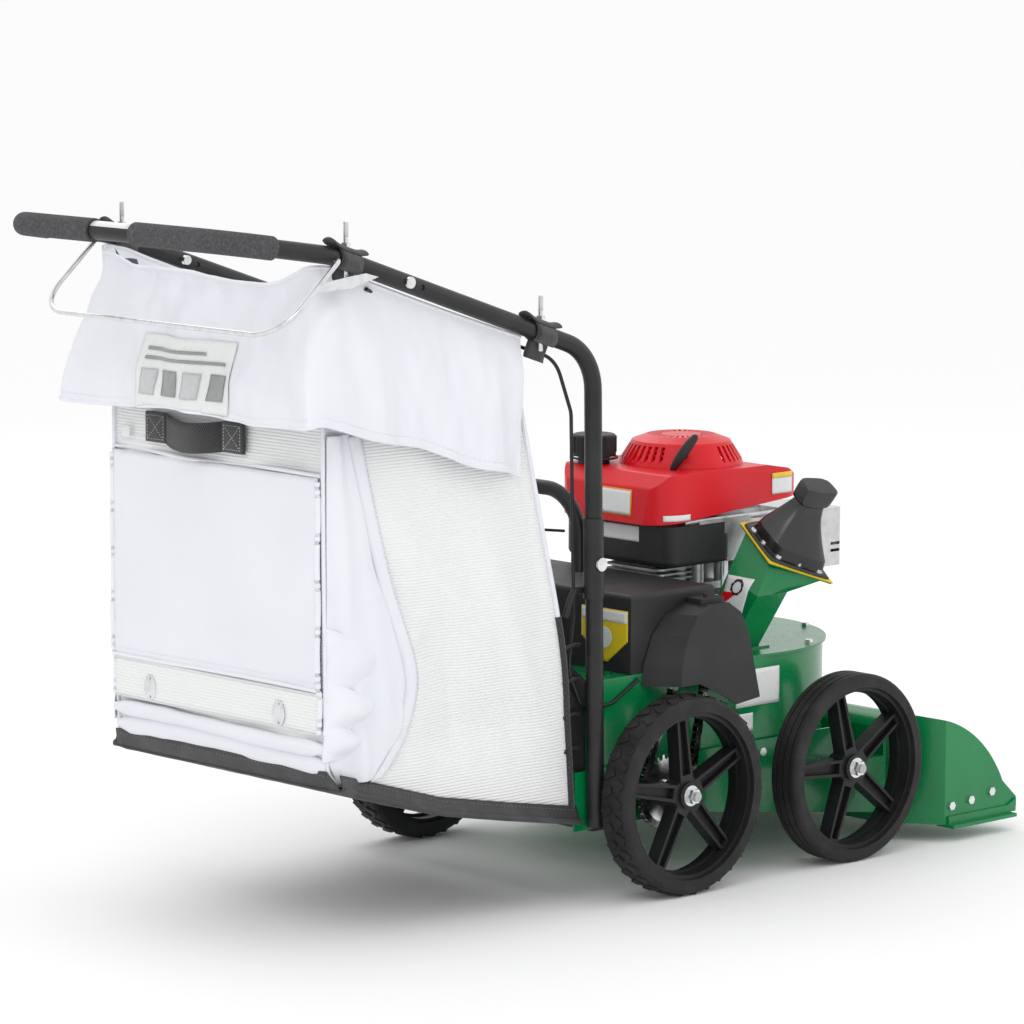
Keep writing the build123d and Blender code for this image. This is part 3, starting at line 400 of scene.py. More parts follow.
# ---- camera, light and floor -----------------------------------------------------------------

def studio():
    azimuth, rise, roll = math.radians(-43.58), math.radians(7.87), math.radians(0.24)
    back = Vector((math.sin(azimuth) * math.cos(rise), -math.cos(azimuth) * math.cos(rise), math.sin(rise)))
    right = (-back).cross(Vector((0, 0, 1))).normalized()
    up = right.cross(-back)
    tilted = right * math.cos(roll) + up * math.sin(roll)
    above = up * math.cos(roll) - right * math.sin(roll)
    camera = bpy.data.cameras.new("camera")
    camera.sensor_width = 36
    camera.lens = 170.65
    camera.clip_end = 2000
    holder = bpy.data.objects.new("camera", camera)
    turn = Matrix((tilted, above, back)).transposed().to_4x4()
    holder.matrix_world = Matrix.Translation(at(-5563.4, -5756.2, 1702.8)) @ turn
    bpy.context.scene.collection.objects.link(holder)
    bpy.context.scene.camera = holder

    floor_mesh = bpy.data.meshes.new("floor")
    reach = 600
    floor_mesh.from_pydata([(-reach, -reach, 0), (reach, -reach, 0), (reach, reach, 0), (-reach, reach, 0)],
                           [],
                           [(0, 1, 2, 3)])
    floor = bpy.data.objects.new("floor", floor_mesh)
    bpy.context.scene.collection.objects.link(floor)
    pale = Finish("studio_floor", (0.97, 0.97, 0.97), 0.9)
    pale.tint(pale.grain(0.6) * 0.2, (0.95, 0.95, 0.96))
    floor_mesh.materials.append(pale.material)

    world = bpy.data.worlds.new("studio")
    bpy.context.scene.world = world
    world.use_nodes = True
    world.node_tree.nodes["Background"].inputs["Color"].default_value = (1.0, 1.0, 1.0, 1.0)
    world.node_tree.nodes["Background"].inputs["Strength"].default_value = 1.0
    for name, spot, size, power in (("key", (-3.2, -2.0, 4.2), 2.0, 26),
                                    ("fill", (3.4, -3.2, 2.4), 3.0, 14),
                                    ("rim", (1.5, 3.5, 3.6), 3.0, 26)):
        light = bpy.data.lights.new(name, "AREA")
        light.size = size
        light.energy = power
        lamp = bpy.data.objects.new(name, light)
        lamp.location = spot
        lamp.rotation_euler = (Vector((0, 0, 0.5)) - Vector(spot)).to_track_quat("-Z", "Y").to_euler()
        bpy.context.scene.collection.objects.link(lamp)
    bpy.context.scene.view_settings.view_transform = "Standard"


studio()


# ---- bag -------------------------------------------------------------------------------------

TOP_REAR, TOP_FRONT, WAIST, TOE = (-722, 1005), (-328, 912), (-215, 430), (-188, 139)
SILL, HEEL, REAR = (-482, 196), (-690, 258), (-715, 296)
BAG_HALF = 250
CLOTH_THICK = 0.0018
TUBE_Y, TUBE_SLOPE = 268.6, 0.335
CHAIN_Y = -275


def blend(first, second, share):
    return first + (second - first) * share


def ease(value):
    value = min(max(value, 0.0), 1.0)
    return value * value * (3 - 2 * value)


def ridge(x, z, start, end, width):
    """How strongly a soft crease from start to end shows at a place on the side panel."""
    along = Vector((end[0] - start[0], end[1] - start[1]))
    offset = Vector((x - start[0], z - start[1]))
    share = offset.dot(along) / along.length_squared
    if not -0.1 < share < 1.1:
        return 0.0
    across = (offset - along * share).length
    return math.exp(-(across / width) ** 2) * math.sin(math.pi * min(max(share, 0.02), 0.98))


SIDE_CREASES = (((-690, 690), (-330, 230), 20, -7), ((-640, 720), (-270, 320), 30, 6),
                ((-600, 300), (-250, 330), 24, -6),
                ((-560, 640), (-520, 240), 26, 5), ((-420, 700), (-250, 240), 34, 7),
                ((-330, 820), (-235, 420), 22, -5),
                ((-480, 560), (-440, 230), 18, -4), ((-680, 480), (-500, 230), 22, 6),
                ((-380, 560), (-300, 200), 16, -4))


def side_fold(x, z):
    """Outward swelling of a side panel: long slack creases over a shallow belly."""
    belly = 9 * math.exp(-((x + 470) / 230) ** 2 - ((z - 480) / 260) ** 2)
    folds = 1.7 * sum(depth * ridge(x, z, start, end, width) for start, end, width, depth in SIDE_CREASES)
    ripple = 2.2 * noise.noise(Vector((x / 90, z / 140, 3.1))) + 1.0 * noise.noise(Vector((x / 28, z / 60,
            7.7)))
    return belly + folds + ripple


def bag_profile():
    """Points round the bag seen from the side, closer together than its corners."""
    corners = [TOP_REAR, TOP_FRONT, (-303, 806), (-272, 672), (-238, 528), (-227.5, 483), WAIST,
               (-190, 162), TOE,
               (-335, 167), SILL, HEEL, (-704, 275), REAR, (-716.5, 345), (-720, 640), (-721, 741)]
    ring = []
    for i, corner in enumerate(corners):
        after = corners[(i + 1) % len(corners)]
        pieces = max(1, round(math.dist(corner, after) / 14))
        ring += [(blend(corner[0], after[0], k / pieces), blend(corner[1], after[1], k / pieces))
                 for k in range(pieces)]
    return ring


def bag_shell():
    ring = bag_profile()
    centre = (-470, 560)
    shares = [0.02, 0.1, 0.2, 0.3, 0.4, 0.5, 0.6, 0.68, 0.76, 0.83, 0.89, 0.94, 0.975]
    rows = [(share, -1) for share in shares]
    ys = sorted(set([-246.0, 146.0] + [-250 + 500 * i / 44 for i in range(1, 44)]))
    rows += [(1.0, y) for y in [-250.0] + [y for y in ys if -249 < y < 249] + [250.0]]
    rows += [(share, 1) for share in reversed(shares)]
    points = []
    for share, y in rows:
        side = share < 1
        for x, z in ring:
            px, pz = blend(centre[0], x, share), blend(centre[1], z, share)
            if side:
                rim = ease((1 - share) / 0.12)
                out = side_fold(px, pz) * rim
                points.append(at(px, y * (BAG_HALF + out), pz))
                continue
            slack = ease((BAG_HALF - abs(y)) / 40)
            rear = x < -700 and z < 1000
            push = 0.0
            if rear:
                push = -6 * slack * (0.4 + noise.noise(Vector((y / 120, z / 150, 1.0))))
            elif z > 905 and x < -330:
                pz -= 26 * slack * math.sin(math.pi * min(max((x + 722) / 394, 0), 1))
            elif z < 262 and x > -690:
                pz += 2 * slack * noise.noise(Vector((x / 70, y / 90, 5.0)))
            points.append(at(px + push, y, pz))
    faces = []
    count = len(ring)
    for r in range(len(rows) - 1):
        for c in range(count):
            n = (c + 1) % count
            (ya, yb), (xa, za), (xb, zb) = (rows[r][1], rows[r + 1][1]), ring[c], ring[n]
            whole = rows[r][0] == 1.0 and rows[r + 1][0] == 1.0
            throat = whole and min(xa,
                                   xb) > -231 and ya >= -246.5 and yb <= 146.5 and 161 < (za + zb) / 2 < 484
            doorway = whole and max(xa,
                                    xb) < -714 and abs(ya) < 238 and abs(yb) < 238 and 355 < (za
                                            + zb) / 2 < 731
            if not throat and not doorway:
                faces.append((r * count + c, r * count + n, (r + 1) * count + n, (r + 1) * count + c))
    last = (len(rows) - 1) * count
    faces += [tuple(range(count)), tuple(range(last, last + count))]
    shell = piece("bag_shell", points, faces, MESH_CLOTH, "chassis", "bag_mesh", ("bag_body",), 50)
    modify(shell, "SOLIDIFY", thickness=0.0022, offset=-1)
    return shell


def strip(name, edge_a, edge_b, finish, body, slot, across=3, thick=0.0, stands_for=(), soften=40):
    """A ribbon between two lines of equal length, optionally thickened."""
    rows = []
    for k in range(across + 1):
        rows += [a.lerp(b, k / across) for a, b in zip(edge_a, edge_b)]
    made = piece(name, rows, grid_faces(len(edge_a), across + 1), finish, body, slot, stands_for, soften)
    if thick:
        modify(made, "SOLIDIFY", thickness=thick, offset=0)
    return made


def stitches(name, line, normal, finish, body, slot, gap=0.0085, long=0.0055, thick=0.0011):
    """A row of raised thread stitches along a line, standing out along a normal."""
    points, faces = [], []
    lengths = [0.0]
    for a, b in zip(line, line[1:]):
        lengths.append(lengths[-1] + (b - a).length)
    spot, segment = gap / 2, 0
    while spot < lengths[-1] - gap / 2:
        while lengths[segment + 1] < spot:
            segment += 1
        share = (spot - lengths[segment]) / max(lengths[segment + 1] - lengths[segment], 1e-9)
        middle_point = line[segment].lerp(line[segment + 1], share)
        ahead = (line[segment + 1] - line[segment]).normalized()
        side = ahead.cross(normal).normalized() * thick * 0.6
        base = len(points)
        up = normal.normalized() * thick
        points += [middle_point - ahead * long / 2, middle_point + side + up * 0.1,
                   middle_point + ahead * long / 2,
                   middle_point - side + up * 0.1, middle_point + up, middle_point - up * 0.8]
        for a, b in ((0, 1), (1, 2), (2, 3), (3, 0)):
            faces += [(base + a, base + b, base + 4), (base + b, base + a, base + 5)]
        spot += gap
    return piece(name, points, faces, finish, body, slot, (), 180)


def line_of(*corners, steps=24):
    """Evenly divided straight runs through axle-frame corners."""
    line = []
    for a, b in zip(corners, corners[1:]):
        line += [at(*a).lerp(at(*b), k / steps) for k in range(steps)]
    return line + [at(*corners[-1])]


def bag_bindings():
    """Sewn edges: tape round the side seams, the door's frame and the mesh band over it."""
    for side, name in ((-1, "right"), (1, "left")):
        y = side * (BAG_HALF + 1.5)
        rear_edge = curve_points([at(*p)
                                  for p in ((-721, y, 990), (-723, y, 741), (-719, y, 420), (-716, y, 300),
                                                   (-700, y, 268), (-660, y, 250))], 10)
        tube(f"rear_seam_{name}", rear_edge, 0.0035, CLOTH, "chassis", "bag_cloth", 8)
        front_edge = curve_points([at(*p)
                                   for p in ((-330, y, 906), (-303, y, 800), (-270, y, 664), (-214, y, 432),
                                                    (-200, y, 290), (-189, y, 146))], 10)
        tube(f"front_seam_{name}", front_edge, 0.004, CLOTH, "chassis", "bag_cloth", 8)
        low_edge = front_edge[28:]
        tube(f"front_binding_{name}", low_edge, 0.0056, WEBBING, "chassis", "webbing", 8)
        inner = [p + Vector((-0.012, side * 0.0015, 0.0)) for p in front_edge]
        stitches(f"front_stitching_{name}", inner, Vector((0, side, 0)), CLOTH, "chassis", "bag_cloth")
        route = ((-676, 800), (-650, 690), (-610, 560), (-570, 440), (-566, 380), (-590, 310), (-630, 258))
        curved = curve_points([at(x, side * (BAG_HALF + side_fold(x, z) * 0.9 + 5), z) for x, z in route],
                              10)
        inner_curve = [p + Vector((0.026, side * 0.0005, 0.006)) for p in curved]
        strip(f"side_tape_{name}", curved, inner_curve, CLOTH, "chassis", "bag_cloth", 3, 0.0016)
        stitches(f"side_tape_stitching_{name}", [p + Vector((0.026, side * 0.002, 0)) for p in curved],
                 Vector((0, side, 0)), CLOTH, "chassis", "bag_cloth")
    seam = [at(-727 - 3 * math.sin(i / 5), -249 + 498 * i / 60, 744 + 2 * math.sin(i / 7))
            for i in range(61)]
    tube("band_seam", seam, 0.0032, CLOTH, "chassis", "bag_cloth", 8)
    for offset in (12, 22):
        line = [p + Vector((-0.002, 0, offset / 1000)) for p in seam]
        stitches(f"band_stitching_{offset}", line, Vector((-1, 0, 0)), CLOTH, "chassis", "bag_cloth")


def gusset_folds():
    """Slack cloth folded forward round both lower rear corners, in three layers."""
    for side, name in ((-1, "right"), (1, "left")):
        for k, (top, low, reach,
                out) in enumerate(((512, 398, 118, 24), (430, 342, 104, 33), (372, 300, 84, 24))):
            points = []
            for i in range(17):
                s = i / 16
                for j in range(13):
                    t = j / 12
                    x = -722 + reach * s * (1 - 0.35 * t) + 4 * math.sin(3 * t + k)
                    z = blend(top - 46 * s, low + 8 * s, t)
                    puff = math.sin(math.pi * s) ** 0.6 * (0.35 + 0.65
                                                           * math.sin(math.pi * min(t * 1.15, 1)))
                    y = BAG_HALF + 2 + out * puff + 2 * noise.noise(Vector((s * 4, t * 3, k)))
                    points.append(at(x, side * y, z))
            fold = piece(f"gusset_fold_{name}_{k + 1}", points, grid_faces(13, 17), CLOTH, "chassis",
                         "bag_cloth", (), 80)
            modify(fold, "SOLIDIFY", thickness=CLOTH_THICK, offset=0)
            modify(fold, "SUBSURF", levels=1)


def side_gusset():
    """Smooth cloth gusset between each rear corner and the curved tape, slack and creased downwards."""
    front = curve_points([Vector((x, 0, z)) for x,
                          z in ((-672, 806), (-646, 690), (-606, 560), (-566, 440), (-562, 380),
                                                         (-586, 310), (-624, 262))], 8)
    for side, name in ((-1, "right"), (1, "left")):
        points, columns = [], 15
        for j, edge in enumerate(front):
            share = j / (len(front) - 1)
            rear_z = blend(806, 262, share)
            rear_x = -718 if rear_z > 300 else blend(-694, -716, (rear_z - 262) / 38)
            for i in range(columns):
                t = i / (columns - 1)
                x, z = blend(rear_x, edge.x, t), blend(rear_z, edge.z, t)
                loose = math.sin(math.pi * t)
                out = 3.5 + loose * (6 + 5 * math.sin(x / 9 + z / 70) + 6
                                     * noise.noise(Vector((x / 25, z / 90, 4.4))))
                points.append(at(x, side * (BAG_HALF + side_fold(x, z) * t * 0.9 + out), z))
        gusset = piece(f"side_gusset_{name}", points, grid_faces(columns, len(front)), CLOTH, "chassis",
                       "bag_cloth", (), 70)
        modify(gusset, "SOLIDIFY", thickness=CLOTH_THICK, offset=0)
        modify(gusset, "SUBSURF", levels=1)


def door_flap():
    """Rear door: a slack panel hemmed over a lower band that carries the two turn buttons."""
    columns, rows = 61, 45
    points = []
    for j in range(rows):
        z = 741 - 396 * j / (rows - 1)
        for i in range(columns):
            y = -247 + 494 * i / (columns - 1)
            edge = ease((247 - abs(y)) / 45)
            crease = 3.2 * ridge(y, z, (-200, 440), (170, 700), 26) - 2.4 * ridge(y, z, (-230, 560),
                    (60, 430), 22)
            sag = 4.0 * math.sin(math.pi
                                 * ease((741 - z) / 330)) + 2.0 * noise.noise(Vector((y / 110, z / 130,
                                         2.0)))
            lip = 4.5 if z > 409 else 0.0
            x = -725.5 - lip - edge * (sag + crease) * ease((z - 345) / 60) * ease((745 - z) / 40)
            points.append(at(x, y, z))
    flap = piece("door_flap", points, grid_faces(columns, rows), CLOTH, "door", "bag_cloth", ("bag_door",),
                 60)
    modify(flap, "SOLIDIFY", thickness=0.0025, offset=0)
    hem = [at(-731.5 - 1.2 * math.sin(i / 9), -247 + 494 * i / 60, 412 + 1.5 * math.sin(i / 11))
           for i in range(61)]
    tube("door_hem", hem, 0.003, CLOTH, "door", "bag_cloth", 8)
    stitches("door_hem_stitching", [p + Vector((-0.001, 0, 0.012)) for p in hem], Vector((-1, 0, 0)), CLOTH,
             "door",
             "bag_cloth")
    for side, name in ((-1, "right"), (1, "left")):
        edge = [at(-727 - (3.5 if z > 409 else 0) - 1.2 * math.sin(z / 23), side * 247.5, z)
                for z in range(345, 741, 6)]
        tube(f"door_side_hem_{name}", edge, 0.0045, CLOTH, "door", "bag_cloth", 8)
    band_top = [at(-729, -247 + 494 * i / 60, 408) for i in range(61)]
    band_low = [at(-729 + 1.5 * math.sin(i / 8), -247 + 494 * i / 60, 343) for i in range(61)]
    strip("door_band", band_top, band_low, MESH_CLOTH, "door", "bag_mesh", 6, 0.002)
    for side, name in ((-1, "right"), (1, "left")):
        oval = [at(-731, side * 156 + 15 * math.cos(a), 366 + 21 * math.sin(a))
                for a in [2 * math.pi * k / 28 for k in range(28)]]
        plate(f"turn_plate_{name}", oval, 0.0016, ZINC, "door", "zinc", 0.0005)
        for end in (-1, 1):
            rivet(f"turn_plate_rivet_{name}_{'low' if end < 0 else 'high'}",
                  at(-732.5, side * 156, 366 + end * 15.5),
                  Vector((-1, 0, 0)), 0.0024, "door")


def rivet(name, centre, normal, radius, body, finish=None):
    """A domed head."""
    across = normal.orthogonal().normalized()
    over = normal.cross(across)
    points, rings = [], 5
    for r in range(rings):
        angle = math.pi / 2 * r / (rings - 1)
        for k in range(16):
            a = 2 * math.pi * k / 16
            points.append(centre + (across * math.cos(a) + over * math.sin(a)) * radius
                          * math.cos(angle * 0.98)
                          + normal * radius * 0.55 * math.sin(angle))
    faces = grid_faces(16, rings, True) + [tuple(range(16)), tuple(range((rings - 1) * 16, rings * 16))]
    return piece(name, points, faces, finish or ZINC, body, "zinc", (), 60)


def rolled_sleeve():
    """The door's spare cloth rolled up under it, with its fold line sloping across the back."""
    rolls = ((-722, 322, 13, 15), (-718, 297, 15, 11))
    for k, (x, z, high, deep) in enumerate(rolls):
        points = []
        for i in range(49):
            y = -253 + 506 * i / 48
            swell = 1 + 0.16 * noise.noise(Vector((y / 60, k * 3.0, 0.5)))
            end = 0.55 + 0.45 * ease((253 - abs(y)) / 30)
            for j in range(14):
                a = 2 * math.pi * j / 14
                points.append(at(x + 6 - deep * 0.5 + deep * 0.55 * swell * end * math.cos(a), y,
                                 z + high * swell * end * math.sin(a) + 3 * math.sin(y / 90 + k)))
        faces = grid_faces(14, 49, True) + [tuple(range(14)), tuple(range(48 * 14, 49 * 14))]
        piece(f"rolled_sleeve_{k + 1}", points, faces, CLOTH, "chassis", "bag_cloth", (), 80)


def lift_handle():
    """Webbing grab handle over the door, sewn down at both ends through boxed patches."""
    z_mid = 786
    points_a, points_b = [], []
    for i in range(41):
        s = i / 40
        y = 155 - 236 * s
        stand = 20 * math.sin(math.pi * min(max((s - 0.2) / 0.6, 0), 1)) ** 0.8 if 0.2 < s < 0.8 else 0.0
        drop = -7 * math.sin(math.pi * min(max((s - 0.2) / 0.6, 0), 1)) if 0.2 < s < 0.8 else 0.0
        points_a.append(at(-733 - stand, y, z_mid + 24 + drop))
        points_b.append(at(-733 - stand, y, z_mid - 24 + drop))
    strip("lift_handle", points_a, points_b, WEBBING, "chassis", "webbing", 4, 0.003)
    for index, centre in enumerate((130, -56)):
        corners = [(centre - 25, z_mid - 24), (centre + 25, z_mid - 24), (centre + 25, z_mid + 24),
                   (centre - 25, z_mid + 24)]
        patch = plate(f"handle_patch_{index + 1}", [at(-736.5, y, z) for y, z in corners], 0.003, WEBBING,
                      "chassis",
                      "webbing", 0.0008)
        patch.data.update()
        inner = [(blend(centre, y, 0.78), blend(z_mid, z, 0.78)) for y, z in corners]
        loop = inner + [inner[0], inner[2]]
        stitches(f"handle_box_stitching_{index + 1}", line_of(*[(-738.6, y, z) for y, z in loop], steps=10),
                 Vector((-1, 0, 0)), CLOTH, "chassis", "bag_cloth", 0.0052, 0.004, 0.0009)
        stitches(f"handle_cross_stitching_{index + 1}",
                 line_of(*[(-738.6, y, z) for y, z in (inner[1], inner[3])]),
                 Vector((-1, 0, 0)), CLOTH, "chassis", "bag_cloth", 0.0052, 0.004, 0.0009)
    label = [(-737, y, z) for y, z in ((196, 764), (214, 764), (214, 782), (196, 782))]
    plate("small_size_tag", [at(*p) for p in label], 0.001, WHITE_FILM, "chassis", "bag_cloth", 0.0003)


def side_tube(x):
    """Height of the handle's side tube above a place along the machine."""
    return 1015.6 - TUBE_SLOPE * (x + 522)


def dust_skirt():
    """Loose cloth skirt hung round the bag's top, full enough to fall in folds and flare at its hem."""
    stations = []
    for i in range(70):
        stations.append(("right", -312 - 425 * i / 69))
    for i in range(1, 90):
        stations.append(("rear", -256 + 512 * i / 90))
    for i in range(70):
        stations.append(("left", -737 + 425 * i / 69))
    rows = 34
    points = []
    for j in range(rows):
        t = j / (rows - 1)
        for part, value in stations:
            if part == "rear":
                y = value
                corner = ease((abs(y) - 150) / 106)
                wave = 10 * math.sin(y / 46 + 0.8) + 6 * math.sin(y / 21 + 2 * t)
                top = 1036 + 26 * corner + 5 * math.sin(y / 60)
                hem = 822 + 5 * math.sin(y / 55 + 1)
                fold = (wave * t * 0.9 + 16 * noise.noise(Vector((y / 60, t * 2.2, 4.0))) + 6
                        * noise.noise(Vector((y / 24, t * 5, 1.0)))) * (1 - 0.4 * corner)
                x = -746 - 46 * ease(t) * (0.75 + 0.25 * corner) - fold
                x += 10 * math.exp(-((t - 0.12) / 0.1) ** 2)
                z = blend(top, hem, t)
                spread = 1 + (0.20 * corner + 0.02) * ease(t)
                points.append(at(x, y * spread, z))
            else:
                side = -1 if part == "right" else 1
                x = value
                along = (x + 737) / 425
                pinch = math.exp(-(along / 0.10) ** 2)
                top = side_tube(x) - 14 - 22 * math.sin(math.pi * along) * 0.15
                top = blend(top, 1062, pinch * 0.6)
                hem = blend(826, 704, along) + 4 * math.sin(x / 31)
                wave = 9 * math.sin(x / 22 + 0.5) * ease((along - 0.45) / 0.4) + 9 * math.sin(x / 58 + 2)
                wrinkle = 9 * pinch * math.sin(t * 22 + along * 34) * math.exp(-(t / 0.5) ** 2)
                spread = blend(42, 12, ease(along)) * ease(t)
                y = 257 + spread + (wave * (0.25 + 0.75 * t) + 12
                                    * noise.noise(Vector((x / 50, t * 2, 9.0))) + 5
                                    * noise.noise(Vector((x / 20, t * 5, 2.0)))) * ease(t * 3)
                y += wrinkle
                shift = -40 * ease(t) * (1 - ease(along / 0.35)) * (1 - along)
                points.append(at(x + shift, side * y, blend(top, hem, t)))
    skirt = piece("dust_skirt_cloth", points, grid_faces(len(stations), rows), CLOTH, "chassis",
                  "bag_cloth",
                  ("dust_skirt",), 70)
    modify(skirt, "SMOOTH", factor=0.5, iterations=4)
    hem_line = [skirt.data.vertices[(rows - 1) * len(stations) + i].co.copy() for i in range(len(stations))]
    seam_line = [skirt.data.vertices[(rows - 3) * len(stations) + i].co.copy()
                 for i in range(len(stations))]
    top_line = [skirt.data.vertices[i].co.copy() for i in range(len(stations))]
    modify(skirt, "SOLIDIFY", thickness=CLOTH_THICK, offset=0)
    modify(skirt, "SUBSURF", levels=1)
    hem = tube("skirt_hem", hem_line, 0.0026, CLOTH, "chassis", "bag_cloth", 8)
    top = tube("skirt_top_cord", top_line, 0.0032, CLOTH, "chassis", "bag_cloth", 8)
    for k, part_line in enumerate((seam_line[:70], seam_line[70:159], seam_line[159:])):
        outward = (Vector((0, -1, 0)), Vector((-1, 0, 0)), Vector((0, 1, 0)))[k]
        stitches(f"skirt_stitching_{k + 1}", [p + outward * 0.0012 for p in part_line], outward, CLOTH,
                 "chassis",
                 "bag_cloth", 0.009, 0.006)
    care_label(skirt)


def care_label(skirt):
    """Plain sewn-on label with four grey panels, laid on the back of the skirt."""
    def behind(y, z):
        hit, place, normal, _ = skirt.ray_cast(at(-900, y, z), Vector((1, 0, 0)))
        return place + Vector((-0.0016, 0, 0)) if hit else at(-775, y, z)

    def patch(name, y0, y1, z0, z1, finish, lift):
        columns, rows = max(6, int(abs(y0 - y1) / 5)), max(2, int(abs(z0 - z1) / 5))
        points = [behind(blend(y0, y1, i / columns), blend(z0, z1, j / rows)) + Vector((-lift, 0, 0))
                  for j in range(rows + 1) for i in range(columns + 1)]
        made = piece(name, points, grid_faces(columns + 1, rows + 1), finish, "chassis", "bag_cloth", (),
                     70)
        modify(made, "SOLIDIFY", thickness=0.0006, offset=0)

    patch("care_label", 122, -92, 826, 938, WHITE_FILM, 0.0008)
    for k in range(4):
        start = 108 - 50 * k
        patch(f"care_panel_{k + 1}", start, start - 36, 846, 886, GREY_PRINT if k % 2 else PALE_PRINT,
              0.0026)
    for k in range(2):
        patch(f"care_line_{k + 1}", 108, -70 + 40 * k, 900 + 14 * k, 905 + 14 * k, GREY_PRINT, 0.0026)


def bag_sole():
    """Black sheet base with raised welts, stitched round, its rear corners drawn out to points."""
    line = [(TOE[0] + 6, TOE[1] - 2), (-335, 164), (SILL[0], SILL[1] - 4), (HEEL[0], HEEL[1] - 4),
            (-704, 258)]
    points, columns = [], 41
    spots = []
    for a, b in zip(line, line[1:]):
        steps = max(2, round(math.dist(a, b) / 16))
        spots += [(blend(a[0], b[0], k / steps), blend(a[1], b[1], k / steps)) for k in range(steps)]
    spots.append(line[-1])
    for x, z in spots:
        tail = ease((-x - 640) / 60)
        for i in range(columns):
            share = -1 + 2 * i / (columns - 1)
            y = share * (262 + 16 * tail)
            edge = ease((abs(share) - 0.9) / 0.1)
            points.append(at(x + 6 * tail * (1 - abs(share)), y,
                             z - 5 + 4 * edge + 1.5 * noise.noise(Vector((x / 50, y / 60, 8)))))
    sole = piece("bag_sole", points, grid_faces(columns, len(spots)), VINYL, "chassis", "bag_vinyl",
                 ("bag_base",), 50)
    modify(sole, "SOLIDIFY", thickness=0.006, offset=0)
    modify(sole, "BEVEL", width=0.0012, segments=2)
    for side, name in ((-1, "right"), (1, "left")):
        edge = curve_points([at(x, side * (264 + 15 * ease((-x - 640) / 60)), z - 1) for x, z in spots], 2)
        tube(f"sole_welt_{name}", edge, 0.0055, VINYL, "chassis", "bag_vinyl", 10)
        flange_top = [p + Vector((0, -side * 0.010, 0.024)) for p in edge]
        strip(f"sole_upstand_{name}", edge, flange_top, VINYL, "chassis", "bag_vinyl", 4, 0.0022)
        stitches(f"sole_stitching_{name}", [a.lerp(b, 0.75) + Vector((0, side * 0.0016, 0)) for a, b in
                                            zip(edge, flange_top)], Vector((0, side, 0)), GREY_THREAD,
                 "chassis", "bag_vinyl")
    rear_low = [at(-704, -272 + 544 * i / 40, 256) for i in range(41)]
    rear_high = [at(-720, -256 + 512 * i / 40, 286) for i in range(41)]
    strip("sole_rear_upstand", rear_low, rear_high, VINYL, "chassis", "bag_vinyl", 4, 0.0022)
    stitches("sole_rear_stitching",
             [a.lerp(b, 0.75) + Vector((-0.0018, 0, 0)) for a, b in zip(rear_low, rear_high)],
             Vector((-1, 0, 0)), GREY_THREAD, "chassis", "bag_vinyl")


def handle_straps():
    """Webbing loops that hang the bag from the handle's studs, each under a sewn pad."""
    stand = ("bag_straps",)
    for end, x in (("rear", -691), ("front", -281)):
        for side, name in ((-1, "right"), (1, "left")):
            centre_z = side_tube(x)
            wide = 21
            loop = []
            for k in range(15):
                a = math.radians(-70 + 320 * k / 14)
                loop.append((TUBE_Y - 17.6 * math.cos(a) * 1.0, centre_z + 17.6 * math.sin(a)))
            drop = 92 if end == "rear" else 44
            hang = [(256, centre_z - 30), (253, centre_z - 38), (252, centre_z - drop)]
            path = hang[::-1] + [(y, z) for y, z in loop[::1]]
            first = [at(x - wide, side * y, z + 7) for y, z in path]
            second = [at(x + wide, side * y, z - 7) for y, z in path]
            strip(f"handle_strap_{end}_{name}", first, second, WEBBING, "chassis", "webbing", 4, 0.0024,
                  stand)
            stand = ()
            pad = []
            for j in range(7):
                a = math.radians(40 + 100 * j / 6)
                for i in range(9):
                    s = -1 + i / 4
                    px = x + s * 36
                    lift = 3.5 * max(abs(s) - 0.45, 0) ** 1.4 * 4
                    pad.append(at(px, side * (TUBE_Y - 20 * math.cos(a)),
                                  side_tube(px) + 20 * math.sin(a) + lift))
            made = piece(f"stud_pad_{end}_{name}", pad, grid_faces(9, 7), VINYL, "chassis", "webbing", (),
                         60)
            modify(made, "SOLIDIFY", thickness=0.004, offset=0)
            modify(made, "SUBSURF", levels=1)
            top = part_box("bag_studs")[1].z if end == "rear" else (centre_z + 14.3 + 45) / 1000
            thread(f"stud_thread_{end}_{name}", at(x, side * TUBE_Y, 0), centre_z / 1000 + 0.036,
                   top - 0.001)


def thread(name, foot, low, high):
    """A screw thread wound round an upright stud."""
    turns = int((high - low) / 0.00125)
    points, sides = [], 14
    for i in range(turns * sides + 1):
        a = 2 * math.pi * i / sides
        z = low + (high - low) * i / (turns * sides)
        for radius, drop in ((0.0039, -0.00055), (0.0046, 0.0), (0.0039, 0.00055)):
            points.append(Vector((foot.x + radius * math.cos(a), foot.y + radius * math.sin(a), z + drop)))
    piece(name, points, grid_faces(3, turns * sides + 1), ZINC, "chassis", "zinc", (), 60)


# ---- drive and engine details ----------------------------------------------------------------

